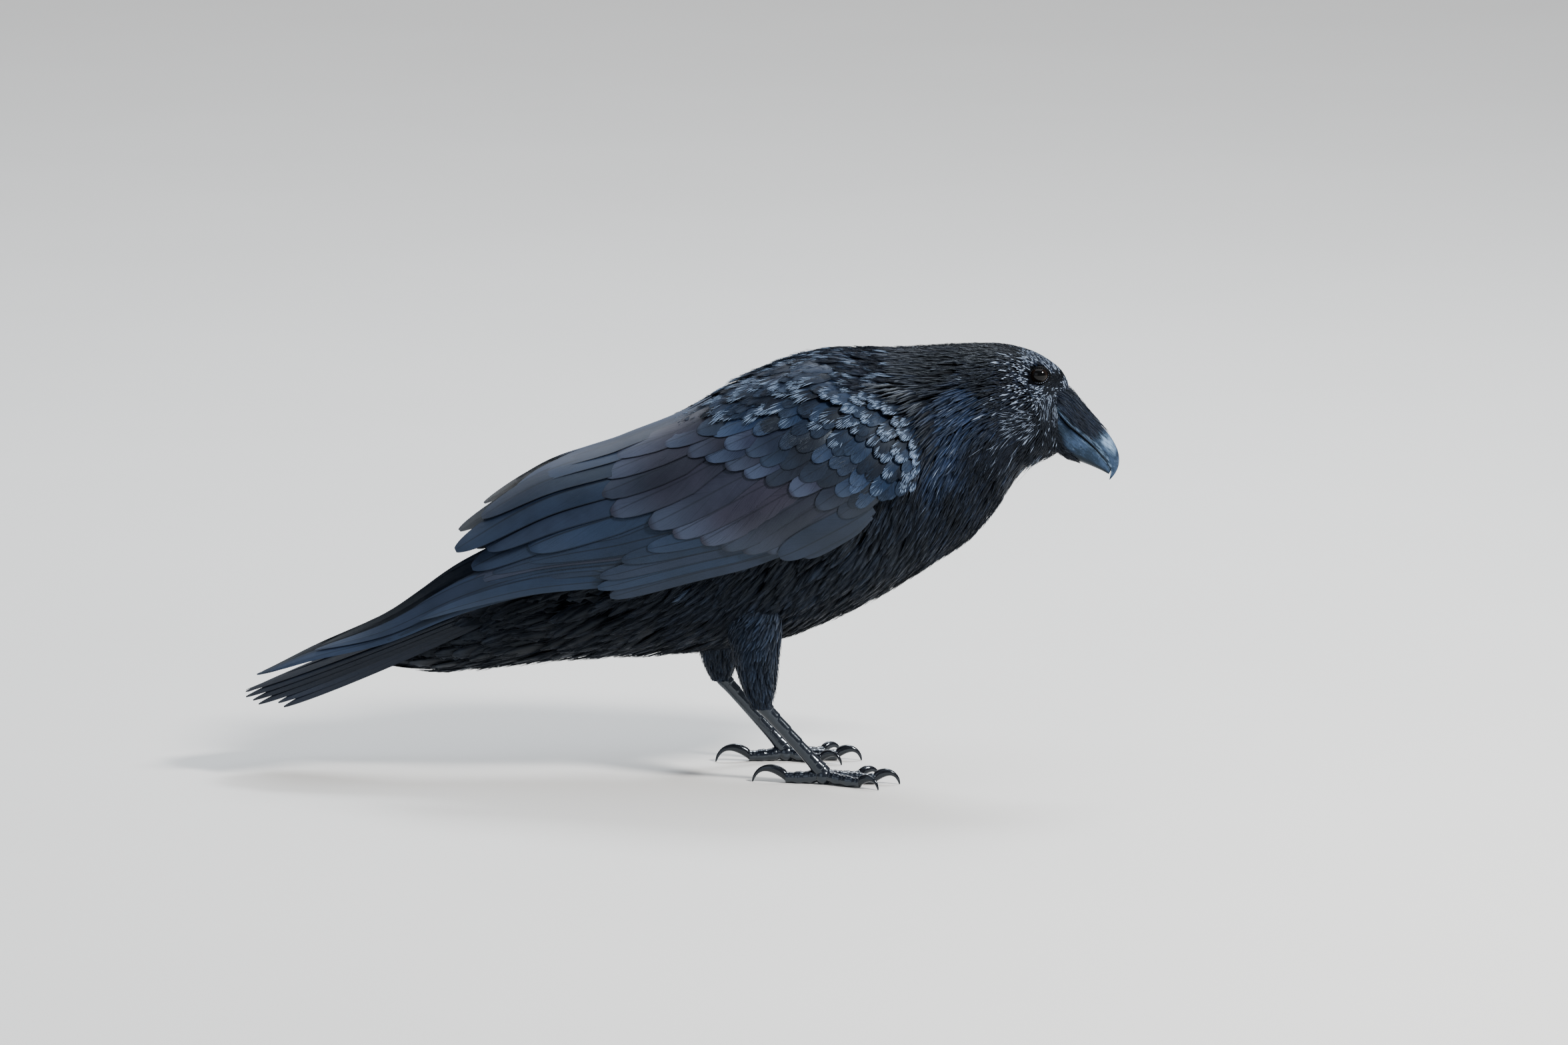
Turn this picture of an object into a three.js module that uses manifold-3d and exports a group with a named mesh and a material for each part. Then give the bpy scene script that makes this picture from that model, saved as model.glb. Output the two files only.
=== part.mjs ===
// A life-size common raven standing on the ground with its back level with its head, as plain solids.
// Millimetres, +Z up, the bird faces +X and its own left side is +Y. The origin is on the floor,
// under the middle of the bird's length.
import * as THREE from "three";
import { mergeVertices } from "three/addons/utils/BufferGeometryUtils.js";
import Module from "manifold-3d";

const wasm = await Module();
wasm.setup();

const gap = 0.3; // clearance between neighbouring solids
const sides = { right: -1, left: 1 };

// ---------- numbers along a smooth curve ----------

// Uniform Catmull-Rom through rows of numbers; t runs from 0 at the first row to 1 at the last.
function along(rows, t) {
  const spans = rows.length - 1;
  const place = Math.min(Math.max(t, 0), 1) * spans;
  const i = Math.min(Math.floor(place), spans - 1);
  const f = place - i;
  const row = (k) => rows[Math.min(Math.max(k, 0), spans)];
  const [p, q, r, s] = [row(i - 1), row(i), row(i + 1), row(i + 2)];
  return q.map((_, k) => {
    const slope = r[k] - p[k];
    const bend = 2 * p[k] - 5 * q[k] + 4 * r[k] - s[k];
    const twist = 3 * q[k] - p[k] - 3 * r[k] + s[k];
    return q[k] + 0.5 * f * (slope + f * (bend + f * twist));
  });
}

// The rows' numbers at a value of their first column, which falls from row to row.
function atStation(rows, value) {
  const last = rows.length - 1;
  let i = 0;
  while (i < last - 1 && rows[i + 1][0] > value) i += 1;
  const share = (rows[i][0] - value) / (rows[i][0] - rows[i + 1][0]);
  return along(rows, (i + Math.min(Math.max(share, 0), 1)) / last);
}

// ---------- closed solids ----------

function solidFrom(positions, faces) {
  const geometry = new THREE.BufferGeometry();
  geometry.setAttribute("position", new THREE.Float32BufferAttribute(positions, 3));
  geometry.setIndex(faces);
  const merged = mergeVertices(geometry, 1e-4);
  const mesh = { numProp: 3, vertProperties: merged.attributes.position.array };
  mesh.triVerts = new Uint32Array(merged.index.array);
  return new wasm.Manifold(new wasm.Mesh(mesh));
}

// Rings of equal length joined one to the next, with a fan over each end ring.
function loft(rings) {
  const count = rings[0].length;
  const positions = rings.flat(2);
  const faces = [];
  for (let i = 0; i < rings.length - 1; i += 1)
    for (let j = 0; j < count; j += 1) {
      const a = i * count + j;
      const b = i * count + ((j + 1) % count);
      faces.push(a, b, b + count, a, b + count, a + count);
    }
  const ends = [rings[0], rings[rings.length - 1]];
  ends.forEach((ring, end) => {
    const centre = [0, 1, 2].map((k) => ring.reduce((sum, p) => sum + p[k], 0) / count);
    const hub = positions.length / 3;
    positions.push(...centre);
    const first = end ? (rings.length - 1) * count : 0;
    for (let j = 0; j < count; j += 1) {
      const a = first + j;
      const b = first + ((j + 1) % count);
      if (end) faces.push(a, b, hub);
      else faces.push(b, a, hub);
    }
  });
  const made = solidFrom(positions, faces);
  return made.volume() < 0 ? solidFrom(positions, flipped(faces)) : made;
}

// The same triangles facing the other way.
function flipped(faces) {
  const out = [];
  for (let i = 0; i < faces.length; i += 3) out.push(faces[i + 1], faces[i], faces[i + 2]);
  return out;
}

function solidOfGeometry(geometry) {
  const bare = geometry.index ? geometry.toNonIndexed() : geometry.clone();
  const positions = Array.from(bare.getAttribute("position").array);
  return solidFrom(positions, positions.slice(0, positions.length / 3).map((_, i) => i));
}

const fine = 0.1; // detail below this is dropped from joined and cut solids
const featherFine = 0.4; // the same for the packed flight feathers, which need a wider clearance
const featherGap = 1.2;
const joined = (solids) => wasm.Manifold.union(solids).simplify(fine);
const less = (solid, ...tools) => solid.subtract(wasm.Manifold.union(tools)).simplify(fine);

// The largest body of a solid, where a cut leaves crumbs.
function mainBody(solid) {
  const bodies = solid.decompose();
  return bodies.reduce((a, b) => (b.volume() > a.volume() ? b : a));
}

// ---------- plumage hull: head, neck and trunk ----------

// From the tail end to the face: back point x, z, belly point x, z, half width,
// height of the widest level (-1 to 1), squareness.
const hullStations = [
  [-168, 92, -197, 73.5, 13, 0, 2],
  [-150, 108, -157, 68.5, 23, 0, 2],
  [-118, 131, -114, 73, 31, 0, 2.1],
  [-78, 160, -70, 77.5, 41, 0, 2.2],
  [-45, 190, -25, 80, 48, 0.02, 2.2],
  [-12, 221, 20, 84, 54, 0.04, 2.2],
  [22, 248, 62, 90, 59, 0.05, 2.2],
  [58, 270, 100, 104, 61, 0.05, 2.2],
  [95, 283, 136, 122, 59, 0.05, 2.2],
  [128, 284.5, 168, 142, 52, 0.02, 2.15],
  [156, 285.5, 192, 158, 43, 0, 2.1],
  [180, 287, 210, 179, 34.5, 0, 2.2],
  [199, 287.5, 224, 200, 29.5, 0, 2.5],
  [217.5, 286, 235, 211, 27, 0.04, 3.2],
  [236, 280.2, 244.5, 214.5, 23.5, 0.08, 3.8],
  [250.5, 271.3, 250.5, 215, 12.5, 0.05, 3.2],
  [257.2, 260.3, 254, 216, 8.5, 0, 2.5],
];
const hullParts = { trunk: [0, 9.2], neck: [9.2, 11.7], head: [11.7, 16] }; // in stations

// A point of the hull: t along it, angle from the back over the bird's left side, grown outwards.
function hullPoint(t, angle, grow = 0) {
  const [bx, bz, cx, cz, halfWidth, level, squareness] = along(hullStations, t);
  const power = 2 / squareness;
  const c = Math.cos(angle);
  const s = Math.sin(angle);
  const height = Math.hypot(bx - cx, bz - cz) / 2;
  const rise = Math.sign(c) * Math.abs(c) ** power * (c > 0 ? 1 - level : 1 + level) + level;
  const reach = rise * (1 + grow / height) * 0.5;
  return [
    (bx + cx) / 2 + (bx - cx) * reach,
    Math.sign(s) * Math.abs(s) ** power * (halfWidth + grow),
    (bz + cz) / 2 + (bz - cz) * reach,
  ];
}

function hull(from, to, steps, grow) {
  const rings = [];
  const last = hullStations.length - 1;
  const around = 18;
  for (let i = 0; i <= steps; i += 1) {
    const t = (from + ((to - from) * i) / steps) / last;
    const ring = [];
    for (let j = 0; j < around; j += 1)
      ring.push(hullPoint(t, (2 * Math.PI * j) / around, grow));
    rings.push(ring);
  }
  return loft(rings);
}

const seam = 0.006; // stations left open on each side of a parting, about 0.3 mm in all
const hullSteps = { trunk: 12, neck: 4, head: 9 };

function hullPart(name, grow = 0) {
  const [from, to] = hullParts[name];
  const open = grow ? 0 : seam;
  return hull(from + open, name === "head" ? to : to - open, hullSteps[name], grow);
}

const trunk = hullPart("trunk");
const neck = hullPart("neck");
const headWhole = hullPart("head");
const bodyGrown = joined(Object.keys(hullParts).map((name) => hullPart(name, 2 * gap)));

// ---------- bill ----------

// Upper edge x, z, lower edge x, z, half width, from inside the head to the tip.
const upperBillStations = [
  [248, 262, 239, 250, 9.5],
  [258.4, 257.3, 247.5, 244.3, 10.6],
  [267.2, 245.8, 255.5, 235.6, 10],
  [276.4, 235.3, 264.5, 228, 8.8],
  [284.4, 226, 272.5, 220.6, 7.1],
  [289.6, 216, 279.3, 212.8, 5],
  [290.4, 207.6, 283.4, 206.6, 3],
  [288.2, 201.4, 285, 202.2, 1.5],
  [284.4, 196.6, 284, 196.9, 0.3],
];
const lowerBillStations = [
  [240, 247.5, 240, 229, 9.2],
  [247, 243.4, 246, 220, 9.9],
  [254.9, 234.8, 253, 212.8, 9.2],
  [263.8, 227.2, 262, 209.8, 8],
  [271.8, 219.8, 270.5, 206.6, 6.2],
  [278.6, 212, 277, 203.8, 4.2],
  [282.6, 205.9, 281.6, 201.5, 2.2],
  [284, 202.3, 283.4, 200.6, 0.7],
];
const ridgeRoundness = 0.62; // lower is squarer
const billSteps = { upper: 11, lower: 9 };

// Each section is flat along the cutting edge and round along the ridge.
function billHalf(stations, edgeFirst, steps, grow = 0) {
  const around = 8;
  const rings = [];
  for (let i = 0; i <= steps; i += 1) {
    const [ux, uz, lx, lz, halfWidth] = along(stations, i / steps);
    const edge = edgeFirst ? [ux, uz] : [lx, lz];
    const ridge = edgeFirst ? [lx, lz] : [ux, uz];
    const ring = [];
    for (let j = 0; j <= around; j += 1) {
      const angle = (Math.PI * j) / around;
      const up = Math.sin(angle) ** ridgeRoundness * (1 + grow / 8) - grow / 8;
      const y = Math.cos(angle) * (halfWidth + grow);
      ring.push([edge[0] + (ridge[0] - edge[0]) * up, y, edge[1] + (ridge[1] - edge[1]) * up]);
    }
    rings.push(ring);
  }
  return loft(rings);
}

const upperBill = billHalf(upperBillStations, false, billSteps.upper);
const upperBillGrown = billHalf(upperBillStations, false, billSteps.upper, gap);
const lowerBill = less(billHalf(lowerBillStations, true, billSteps.lower), upperBillGrown);

// ---------- eyes ----------

const eye = { x: 236.9, y: 15.4, z: 269.4, radius: 6.8 };

function eyeball(side, grow = 0) {
  const ball = new THREE.SphereGeometry(eye.radius + grow, 12, 8);
  ball.translate(eye.x, side * eye.y, eye.z);
  return solidOfGeometry(ball);
}

// ---------- wings ----------

// Shell that the folded wings lie on, an ellipse across the bird at each x:
// x, height of the centre, half height, half width.
const wingShellStations = [
  [175, 222, 66, 47],
  [150, 213, 76, 59],
  [120, 200, 89.5, 67.5],
  [80, 187, 97.5, 71],
  [40, 173, 95, 71],
  [0, 158, 86, 68],
  [-40, 142, 84, 63],
  [-90, 124, 82, 56],
  [-140, 104, 64, 50],
  [-190, 87, 33, 46],
  [-240, 76, 15, 44],
  [-290, 58, 11, 42],
];

// A point of the shell, by x and the angle down from the back, raised outwards by a height.
function wingShell(side, x, angle, height = 0) {
  const [, centre, tall, wide] = atStation(wingShellStations, x);
  const reach = [Math.sin(angle) * wide, Math.cos(angle) * tall];
  const normal = [Math.sin(angle) * tall, Math.cos(angle) * wide];
  const size = Math.hypot(...normal);
  const y = reach[0] + (normal[0] / size) * height;
  return [x, side * y, centre + reach[1] + (normal[1] / size) * height];
}

const degrees = Math.PI / 180;

// Shoulder slab with the scapulars and coverts, by angle down from the back:
// angle, front edge x, rear edge x.
const covertRows = [
  [12, 108, -30],
  [25, 133, -38],
  [45, 148, -52],
  [62, 153, -44],
  [76, 151, -14],
  [88, 146, 10],
  [98, 134, 30],
  [106, 118, 62],
];

function covertSlab(side, grow = 0) {
  const acrossSteps = 10;
  const alongSteps = 8;
  const surface = (i, j, depth) => {
    const [row, front, rear] = along(covertRows, i / acrossSteps);
    const x = front + grow + (rear - front - 2 * grow) * (j / alongSteps);
    const angle = row + grow * ((2 * i) / acrossSteps - 1);
    return wingShell(side, x, angle * degrees, depth);
  };
  const rings = [];
  for (let i = 0; i <= acrossSteps; i += 1) {
    const edge = i === 0 || i === acrossSteps;
    const top = [];
    const under = [];
    for (let j = 0; j <= alongSteps; j += 1) {
      const rim = edge || j === 0 || j === alongSteps;
      top.push(surface(i, j, (rim ? -1.2 : 0) + grow));
      under.push(surface(i, j, -13 - grow));
    }
    rings.push([...top, ...under.reverse()]);
  }
  return loft(rings);
}

// One flight feather on a surface: root and tip in the surface's own two numbers.
function blade(surface, root, tip, shape, grow = 0) {
  const steps = 4;
  const small = 1e-3;
  const rings = [];
  for (let i = 0; i <= steps; i += 1) {
    const v = Math.sin((Math.PI / 2) * (i / steps)) * 0.995;
    const share = v + (grow / 80) * (2 * v - 1);
    const a = root[0] + (tip[0] - root[0]) * share;
    const b = root[1] + (tip[1] - root[1]) * share;
    const high = shape.high + (shape.highAtTip - shape.high) * v;
    const here = new THREE.Vector3(...surface(a, b, high));
    const da = new THREE.Vector3(...surface(a + small, b, high)).sub(here).divideScalar(small);
    const db = new THREE.Vector3(...surface(a, b + small, high)).sub(here).divideScalar(small);
    const run = da.clone().multiplyScalar(tip[0] - root[0]);
    run.addScaledVector(db, tip[1] - root[1]).normalize();
    const normal = da.clone().cross(db).normalize();
    const across = normal.clone().cross(run);
    const [aa, ab, bb] = [da.dot(da), da.dot(db), db.dot(db)];
    const [ca, cb] = [across.dot(da), across.dot(db)];
    const scale = 1 / (aa * bb - ab * ab);
    const stepA = (bb * ca - ab * cb) * scale;
    const stepB = (aa * cb - ab * ca) * scale;
    const rounding = Math.sqrt(1 - v ** (shape.point ?? 7));
    const half = grow + 0.5 * shape.width * rounding * (0.72 + 0.28 * Math.min(1, v / 0.35));
    const thick = shape.thick * (1 - 0.45 * v);
    const corner = (u, down) => surface(a + stepA * half * u, b + stepB * half * u, high - down);
    const under = thick + grow;
    rings.push([corner(-1, under), corner(1, under), corner(1, -grow), corner(-1, -grow)]);
  }
  return loft(rings);
}

// Long inner flight feathers, from the one nearest the back down: root x, root angle, tip x, tip angle.
const tertialEnds = { top: [-14, 16, -104, 16], low: [12, 86, -104, 68] };
const tertialReach = [0, 18, 36, 38, 18, 0]; // how far each tip stands behind the line of tips
const tertialLift = [1, 6, 11, 9, 3, 0]; // how far each tip stands over the shell

function secondaries(side, grow = 0) {
  const surface = (x, angle, high) => wingShell(side, x, angle, high);
  const blades = tertialReach.map((reach, i) => {
    const [rx, ra, tx, ta] = along([tertialEnds.top, tertialEnds.low], i / (tertialReach.length - 1));
    const high = -0.9 - i * 0.5;
    const highAtTip = high + tertialLift[i];
    const shape = { width: 27 - i * 1.2, thick: 2.6, high: high - 0.3, highAtTip };
    return blade(surface, [rx, ra * degrees], [tx - reach, ta * degrees], shape, grow);
  });
  return joined(blades);
}

// Primaries, innermost first: tip x and tip angle; the roots share a short line under the coverts.
const primaryTips = [
  [-136, 62],
  [-159, 60],
  [-184, 55],
  [-206, 52],
  [-240, 49.5],
  [-279, 47],
  [-270, 52],
];
const primaryRoots = { first: [-22, 84], last: [-16, 101] };

function primaries(side, grow = 0) {
  const surface = (x, angle, high) => wingShell(side, x, angle, high);
  const blades = primaryTips.map(([x, angle], i) => {
    const share = i / (primaryTips.length - 1);
    const [rx, ra] = along([primaryRoots.first, primaryRoots.last], share);
    const high = -4.6 - i * 0.45;
    const highAtTip = -2.6 - i * 0.25;
    const shape = { width: 19 - 5 * share, thick: 2.2, high, highAtTip, point: 5 };
    return blade(surface, [rx, ra * degrees], [x, angle * degrees], shape, grow);
  });
  return joined(blades);
}

// Greater primary coverts along the wing's lower edge, and the thumb feather in front of them.
const lowerEdgeFeathers = [
  { root: [70, 98], tip: [-36, 90], width: 12, high: -3.2 },
  { root: [74, 101], tip: [-50, 97], width: 12, high: -3.7 },
  { root: [80, 104], tip: [-46, 99], width: 13, high: -4.2 },
  { root: [122, 102], tip: [56, 106], width: 17, high: -1.2 },
];

function lowerEdge(side, grow = 0) {
  const surface = (x, angle, high) => wingShell(side, x, angle, high);
  const blades = lowerEdgeFeathers.map(({ root, tip, width, high }) => {
    const shape = { width, thick: 3, high, highAtTip: high + 0.5, point: 4 };
    return blade(surface, [root[0], root[1] * degrees], [tip[0], tip[1] * degrees], shape, grow);
  });
  return joined(blades);
}

// ---------- tail ----------

// Root of the middle feathers, fall in degrees, length of the longest feather.
const tailShape = { rootX: -60, rootZ: 146.6, fall: 21.8, length: 245, feathersEachSide: 6 };
const tailRun = [-Math.cos(tailShape.fall * degrees), -Math.sin(tailShape.fall * degrees)];

// The folded tail is a tent: it falls away on both sides of its ridge.
function tailSurface(distance, across, high) {
  const ridge = 6;
  const drop = 0.62 * (Math.hypot(across, ridge) - ridge);
  const x = tailShape.rootX + tailRun[0] * distance - tailRun[1] * (high - drop);
  const z = tailShape.rootZ + tailRun[1] * distance - tailRun[0] * (high - drop);
  return [x, across, z];
}

function tailFan() {
  const blades = [];
  for (const side of Object.values(sides))
    for (let i = 0; i < tailShape.feathersEachSide; i += 1) {
      const tip = [tailShape.length - 1.9 * i * i, side * (4.5 + 5.5 * i)];
      const root = [38, side * (3.2 + 2.5 * i)];
      const high = -0.8 * i - (side > 0 ? 0.4 : 0);
      const shape = { width: 20, thick: 2, high, highAtTip: high, point: 5 };
      blades.push(blade(tailSurface, root, tip, shape));
    }
  return joined(blades);
}

// ---------- legs and feet ----------

const legs = {
  right: { side: -1, ankle: [55, -38, 53], pad: [95.5, -38.5, 7], hip: [50, -33, 122], heading: -4 },
  left: { side: 1, ankle: [28, 38, 57], pad: [71, 38.5, 7], hip: [26, 33, 122], heading: 2 },
};

// An ellipse of points about a centre, its long axis leaning fore and aft.
function ringAt(centre, fore, wide, lean, count) {
  const ring = [];
  for (let j = 0; j < count; j += 1) {
    const angle = (2 * Math.PI * j) / count;
    const reach = Math.cos(angle) * fore;
    ring.push([
      centre[0] + reach * Math.cos(lean),
      centre[1] + Math.sin(angle) * wide,
      centre[2] + reach * Math.sin(lean),
    ]);
  }
  return ring;
}

// Feathered thigh and shank: share of the way from hip to ankle, x shift, fore radius, side radius.
const thighRows = [
  [0, 2, 34, 19],
  [0.3, 1, 24, 17.5],
  [0.55, 0, 17.5, 15],
  [0.76, -1, 13, 11.5],
  [0.92, -1, 9.3, 8.6],
  [1.04, -0.5, 5.6, 5.6],
];

function thigh({ hip, ankle }) {
  const steps = 7;
  const rings = [];
  for (let i = 0; i <= steps; i += 1) {
    const [share, shift, fore, wide] = along(thighRows, i / steps);
    const centre = hip.map((h, k) => h + (ankle[k] - h) * share);
    centre[0] += shift;
    rings.push(ringAt(centre, fore, wide, 0, 14));
  }
  return loft(rings);
}

// Bare shank: share of the way down, fore radius, side radius.
const shankRows = [
  [-0.06, 4.2, 3.4],
  [0.03, 5, 4.2],
  [0.18, 4.3, 3.3],
  [0.5, 4.1, 3.1],
  [0.8, 4.3, 3.4],
  [0.96, 5.2, 4.4],
  [1.06, 4.4, 4],
];

function shank({ ankle, pad }, grow = 0) {
  const steps = 6;
  const lean = Math.atan2(pad[0] - ankle[0], ankle[2] - pad[2]);
  const rings = [];
  for (let i = 0; i <= steps; i += 1) {
    const [share, fore, wide] = along(shankRows, i / steps);
    const centre = ankle.map((a, k) => a + (pad[k] - a) * share);
    rings.push(ringAt(centre, fore + grow, wide + grow, lean, 8));
  }
  return loft(rings);
}

// Four toes: turn from straight ahead towards the bird's middle, in degrees, then sizes.
const toes = {
  hind: { turn: 176, length: 25, radius: 4.1, claw: 23 },
  inner: { turn: 26, length: 26, radius: 3.7, claw: 15 },
  middle: { turn: 2, length: 34, radius: 4.1, claw: 17 },
  outer: { turn: -27, length: 28, radius: 3.7, claw: 14.5 },
};
// Share of the toe's length, height of its centre, radius as a share of the toe's own.
const toeRows = [
  [0, 6, 1.15],
  [0.25, 4.6, 1.04],
  [0.5, 3.8, 1.02],
  [0.75, 3.5, 0.94],
  [1, 3.6, 0.8],
];

function toeDirection(leg, name) {
  const angle = (legs[leg].heading + legs[leg].side * -toes[name].turn) * degrees;
  return [Math.cos(angle), Math.sin(angle)];
}

function toe(leg, name) {
  const { length, radius } = toes[name];
  const [dx, dy] = toeDirection(leg, name);
  const [px, py] = legs[leg].pad;
  const steps = 5;
  const around = 6;
  const rings = [];
  for (let i = 0; i <= steps; i += 1) {
    const [share, height, size] = along(toeRows, i / steps);
    const knuckle = 1 + 0.07 * Math.cos(share * 3 * 2 * Math.PI);
    const r = radius * size * knuckle;
    const ring = [];
    for (let j = 0; j < around; j += 1) {
      const angle = (2 * Math.PI * (j + 0.5)) / around;
      const sideways = Math.cos(angle) * r;
      const x = px + dx * length * share - dy * sideways;
      ring.push([x, py + dy * length * share + dx * sideways, height + Math.sin(angle) * r]);
    }
    rings.push(ring);
  }
  return loft(rings);
}

const floorBlock = (() => {
  const block = new THREE.BoxGeometry(900, 400, 40);
  block.translate(0, 0, -20);
  return solidOfGeometry(block);
})();

const palm = { radius: 5.8, sunk: 0.8 };

// Toes and the ball of the foot in one, flat where they meet the ground.
function foot(leg) {
  const ball = new THREE.SphereGeometry(palm.radius, 7, 5);
  ball.translate(legs[leg].pad[0], legs[leg].pad[1], palm.radius - palm.sunk);
  const parts = Object.keys(toes).map((name) => toe(leg, name));
  parts.push(solidOfGeometry(ball));
  return less(joined(parts), floorBlock, shank(legs[leg], gap));
}

// A claw arches up and over from the toe's end and comes down to its point on the ground.
function claw(leg, name) {
  const { length, claw: reach, radius } = toes[name];
  const [dx, dy] = toeDirection(leg, name);
  const [px, py] = legs[leg].pad;
  const steps = 4;
  const around = 6;
  const rings = [];
  for (let i = 0; i <= steps; i += 1) {
    const v = i / steps;
    const tilt = 0.55 * Math.sin(Math.PI * v) - 1.3 * v * v;
    const out = length + gap + reach * Math.sin((v * Math.PI) / 2.15);
    const up = 4 + reach * 0.27 * Math.sin(Math.PI * v ** 0.85) - 4.2 * v ** 2.2;
    const r = radius * 0.8 * (1 - v) ** 0.8 + 0.35;
    const ring = [];
    for (let j = 0; j < around; j += 1) {
      const angle = (2 * Math.PI * j) / around;
      const sideways = Math.cos(angle) * r * 0.8;
      const lift = Math.sin(angle) * r;
      const forth = out - Math.sin(tilt) * lift;
      const x = px + dx * forth - dy * sideways;
      ring.push([x, py + dy * forth + dx * sideways, up + Math.cos(tilt) * lift]);
    }
    rings.push(ring);
  }
  return mainBody(less(loft(rings), floorBlock));
}

// ---------- materials and the group ----------

const finish = (colour, roughness) =>
  new THREE.MeshStandardMaterial({ color: colour, roughness, metalness: 0 });
const materials = {
  plumage: finish(0x1b1f28, 0.55),
  flight: finish(0x252c3a, 0.5),
  bill: finish(0x2a303b, 0.35),
  eye: finish(0x15100e, 0.06),
  scale: finish(0x1a1c20, 0.35),
  claw: finish(0x101114, 0.25),
};

const raven = new THREE.Group();

function addNode(name, solid, material) {
  const { vertProperties, triVerts, numProp, numVert } = solid.getMesh();
  const positions = new Float32Array(numVert * 3);
  for (let i = 0; i < numVert; i += 1)
    positions.set(vertProperties.subarray(i * numProp, i * numProp + 3), i * 3);
  const geometry = new THREE.BufferGeometry();
  geometry.setAttribute("position", new THREE.BufferAttribute(positions, 3));
  geometry.setIndex(new THREE.BufferAttribute(new Uint32Array(triVerts), 1));
  geometry.computeVertexNormals();
  const mesh = new THREE.Mesh(geometry, material);
  mesh.name = name;
  raven.add(mesh);
}

addNode("trunk", trunk, materials.plumage);
addNode("neck", neck, materials.plumage);
const sockets = Object.values(sides).map((side) => eyeball(side, gap));
addNode("head", less(headWhole, ...sockets), materials.plumage);
addNode("bill_upper", mainBody(less(upperBill, bodyGrown)), materials.bill);
addNode("bill_lower", mainBody(less(lowerBill, bodyGrown)), materials.bill);

// Each piece of a wing is cut clear of the ones that lie over it.
const wings = {};
for (const [name, side] of Object.entries(sides)) {
  const layers = { coverts: covertSlab, secondaries, lower_coverts: lowerEdge, primaries };
  const cutters = [];
  for (const [part, make] of Object.entries(layers)) {
    const piece = less(make(side), bodyGrown, ...cutters).simplify(featherFine);
    const material = part === "coverts" ? materials.plumage : materials.flight;
    addNode("wing_" + part + "_" + name, mainBody(piece), material);
    cutters.push(make(side, featherGap));
  }
  wings[name] = joined(cutters);
  addNode("eye_" + name, eyeball(side), materials.eye);
}
const tail = less(tailFan(), bodyGrown, ...Object.values(wings)).simplify(featherFine);
addNode("tail", mainBody(tail), materials.flight);

for (const name of Object.keys(legs)) {
  const leg = legs[name];
  const feathered = less(thigh(leg), shank(leg, gap), bodyGrown, wings[name]);
  addNode("thigh_" + name, mainBody(feathered), materials.plumage);
  addNode("shank_" + name, shank(leg), materials.scale);
  addNode("foot_" + name, mainBody(foot(name)), materials.scale);
  for (const toeName of Object.keys(toes))
    addNode("claw_" + toeName + "_" + name, claw(name, toeName), materials.claw);
}

export default raven;
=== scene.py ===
import bpy
import numpy as np
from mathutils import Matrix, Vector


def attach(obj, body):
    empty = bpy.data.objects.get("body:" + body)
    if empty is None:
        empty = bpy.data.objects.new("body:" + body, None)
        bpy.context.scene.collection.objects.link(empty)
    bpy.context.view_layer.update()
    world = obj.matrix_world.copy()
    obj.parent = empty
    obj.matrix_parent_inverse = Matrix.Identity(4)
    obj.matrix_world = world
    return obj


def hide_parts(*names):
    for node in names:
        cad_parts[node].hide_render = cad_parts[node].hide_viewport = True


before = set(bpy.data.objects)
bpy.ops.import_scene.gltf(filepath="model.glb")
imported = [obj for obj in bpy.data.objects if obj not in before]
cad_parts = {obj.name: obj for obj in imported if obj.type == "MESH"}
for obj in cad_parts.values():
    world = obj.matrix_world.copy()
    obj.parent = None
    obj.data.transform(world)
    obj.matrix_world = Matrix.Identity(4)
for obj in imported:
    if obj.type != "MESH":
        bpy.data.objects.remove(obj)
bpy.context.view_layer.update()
print("frame loaded")

mm = 0.001
sides = {"right": -1, "left": 1}
degrees = np.pi / 180


# Curves and surfaces.


def along(rows, t):
    # Uniform Catmull-Rom through rows of numbers; t runs from 0 at the first row to 1 at the last.
    rows = np.asarray(rows, float)
    last = len(rows) - 1
    place = np.clip(t, 0, 1) * last
    i = np.minimum(place.astype(int), last - 1)
    f = (place - i)[..., None]
    p, q, r, s = (rows[np.clip(i + k, 0, last)] for k in (-1, 0, 1, 2))
    return q + 0.5 * f * (r - p + f * (2 * p - 5 * q + 4 * r - s + f * (3 * q - p - 3 * r + s)))


def atStation(rows, value):
    # The rows' numbers at a value of their first column, which falls from row to row.
    first = np.asarray(rows, float)[:, 0]
    i = np.sum(first[1:-1] > value[..., None], -1)
    share = np.clip((first[i] - value) / (first[i] - first[i + 1]), 0, 1)
    return along(rows, (i + share) / (len(first) - 1))


def smooth(low, high, value):
    # 0 below low, 1 above high, with an even S between.
    x = np.clip((value - low) / (high - low), 0, 1)
    return x * x * (3 - 2 * x)


def dot(a, b):
    return np.sum(a * b, -1, keepdims=True)


def unit(a):
    return a / np.maximum(np.linalg.norm(a, axis=-1, keepdims=True), 1e-9)


def surfaceFrame(surface, p, q, high):
    # Place, the two edge directions and the outward normal of a surface, by small steps.
    step = 1e-3
    here = surface(p, q, high)
    dp = (surface(p + step, q, high) - here) / step
    dq = (surface(p, q + step, high) - here) / step
    normal = unit(np.cross(dp, dq))
    outward = dot(normal, surface(p, q, high + 0.5) - here)
    return here, dp, dq, normal * np.sign(outward)


def surfaceSteps(dp, dq, want):
    # The surface's own two numbers for a small step in space, from its metric.
    aa, ab, bb = dot(dp, dp), dot(dp, dq), dot(dq, dq)
    ca, cb = dot(want, dp), dot(want, dq)
    return np.concatenate([bb * ca - ab * cb, aa * cb - ab * ca], -1) / (aa * bb - ab * ab)


def pack(*parts):
    return np.stack(parts, -1)


def turns(count, shift=0.0):
    # Angles that part a full round evenly.
    return (np.arange(count) + shift) * 2 * np.pi / count


def ringGrid(low, high, rows, columns, shift=0.0):
    # A number along a tube and an angle round it, for each of its points.
    return np.meshgrid(np.linspace(low, high, rows), turns(columns, shift), indexing="ij")


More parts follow.
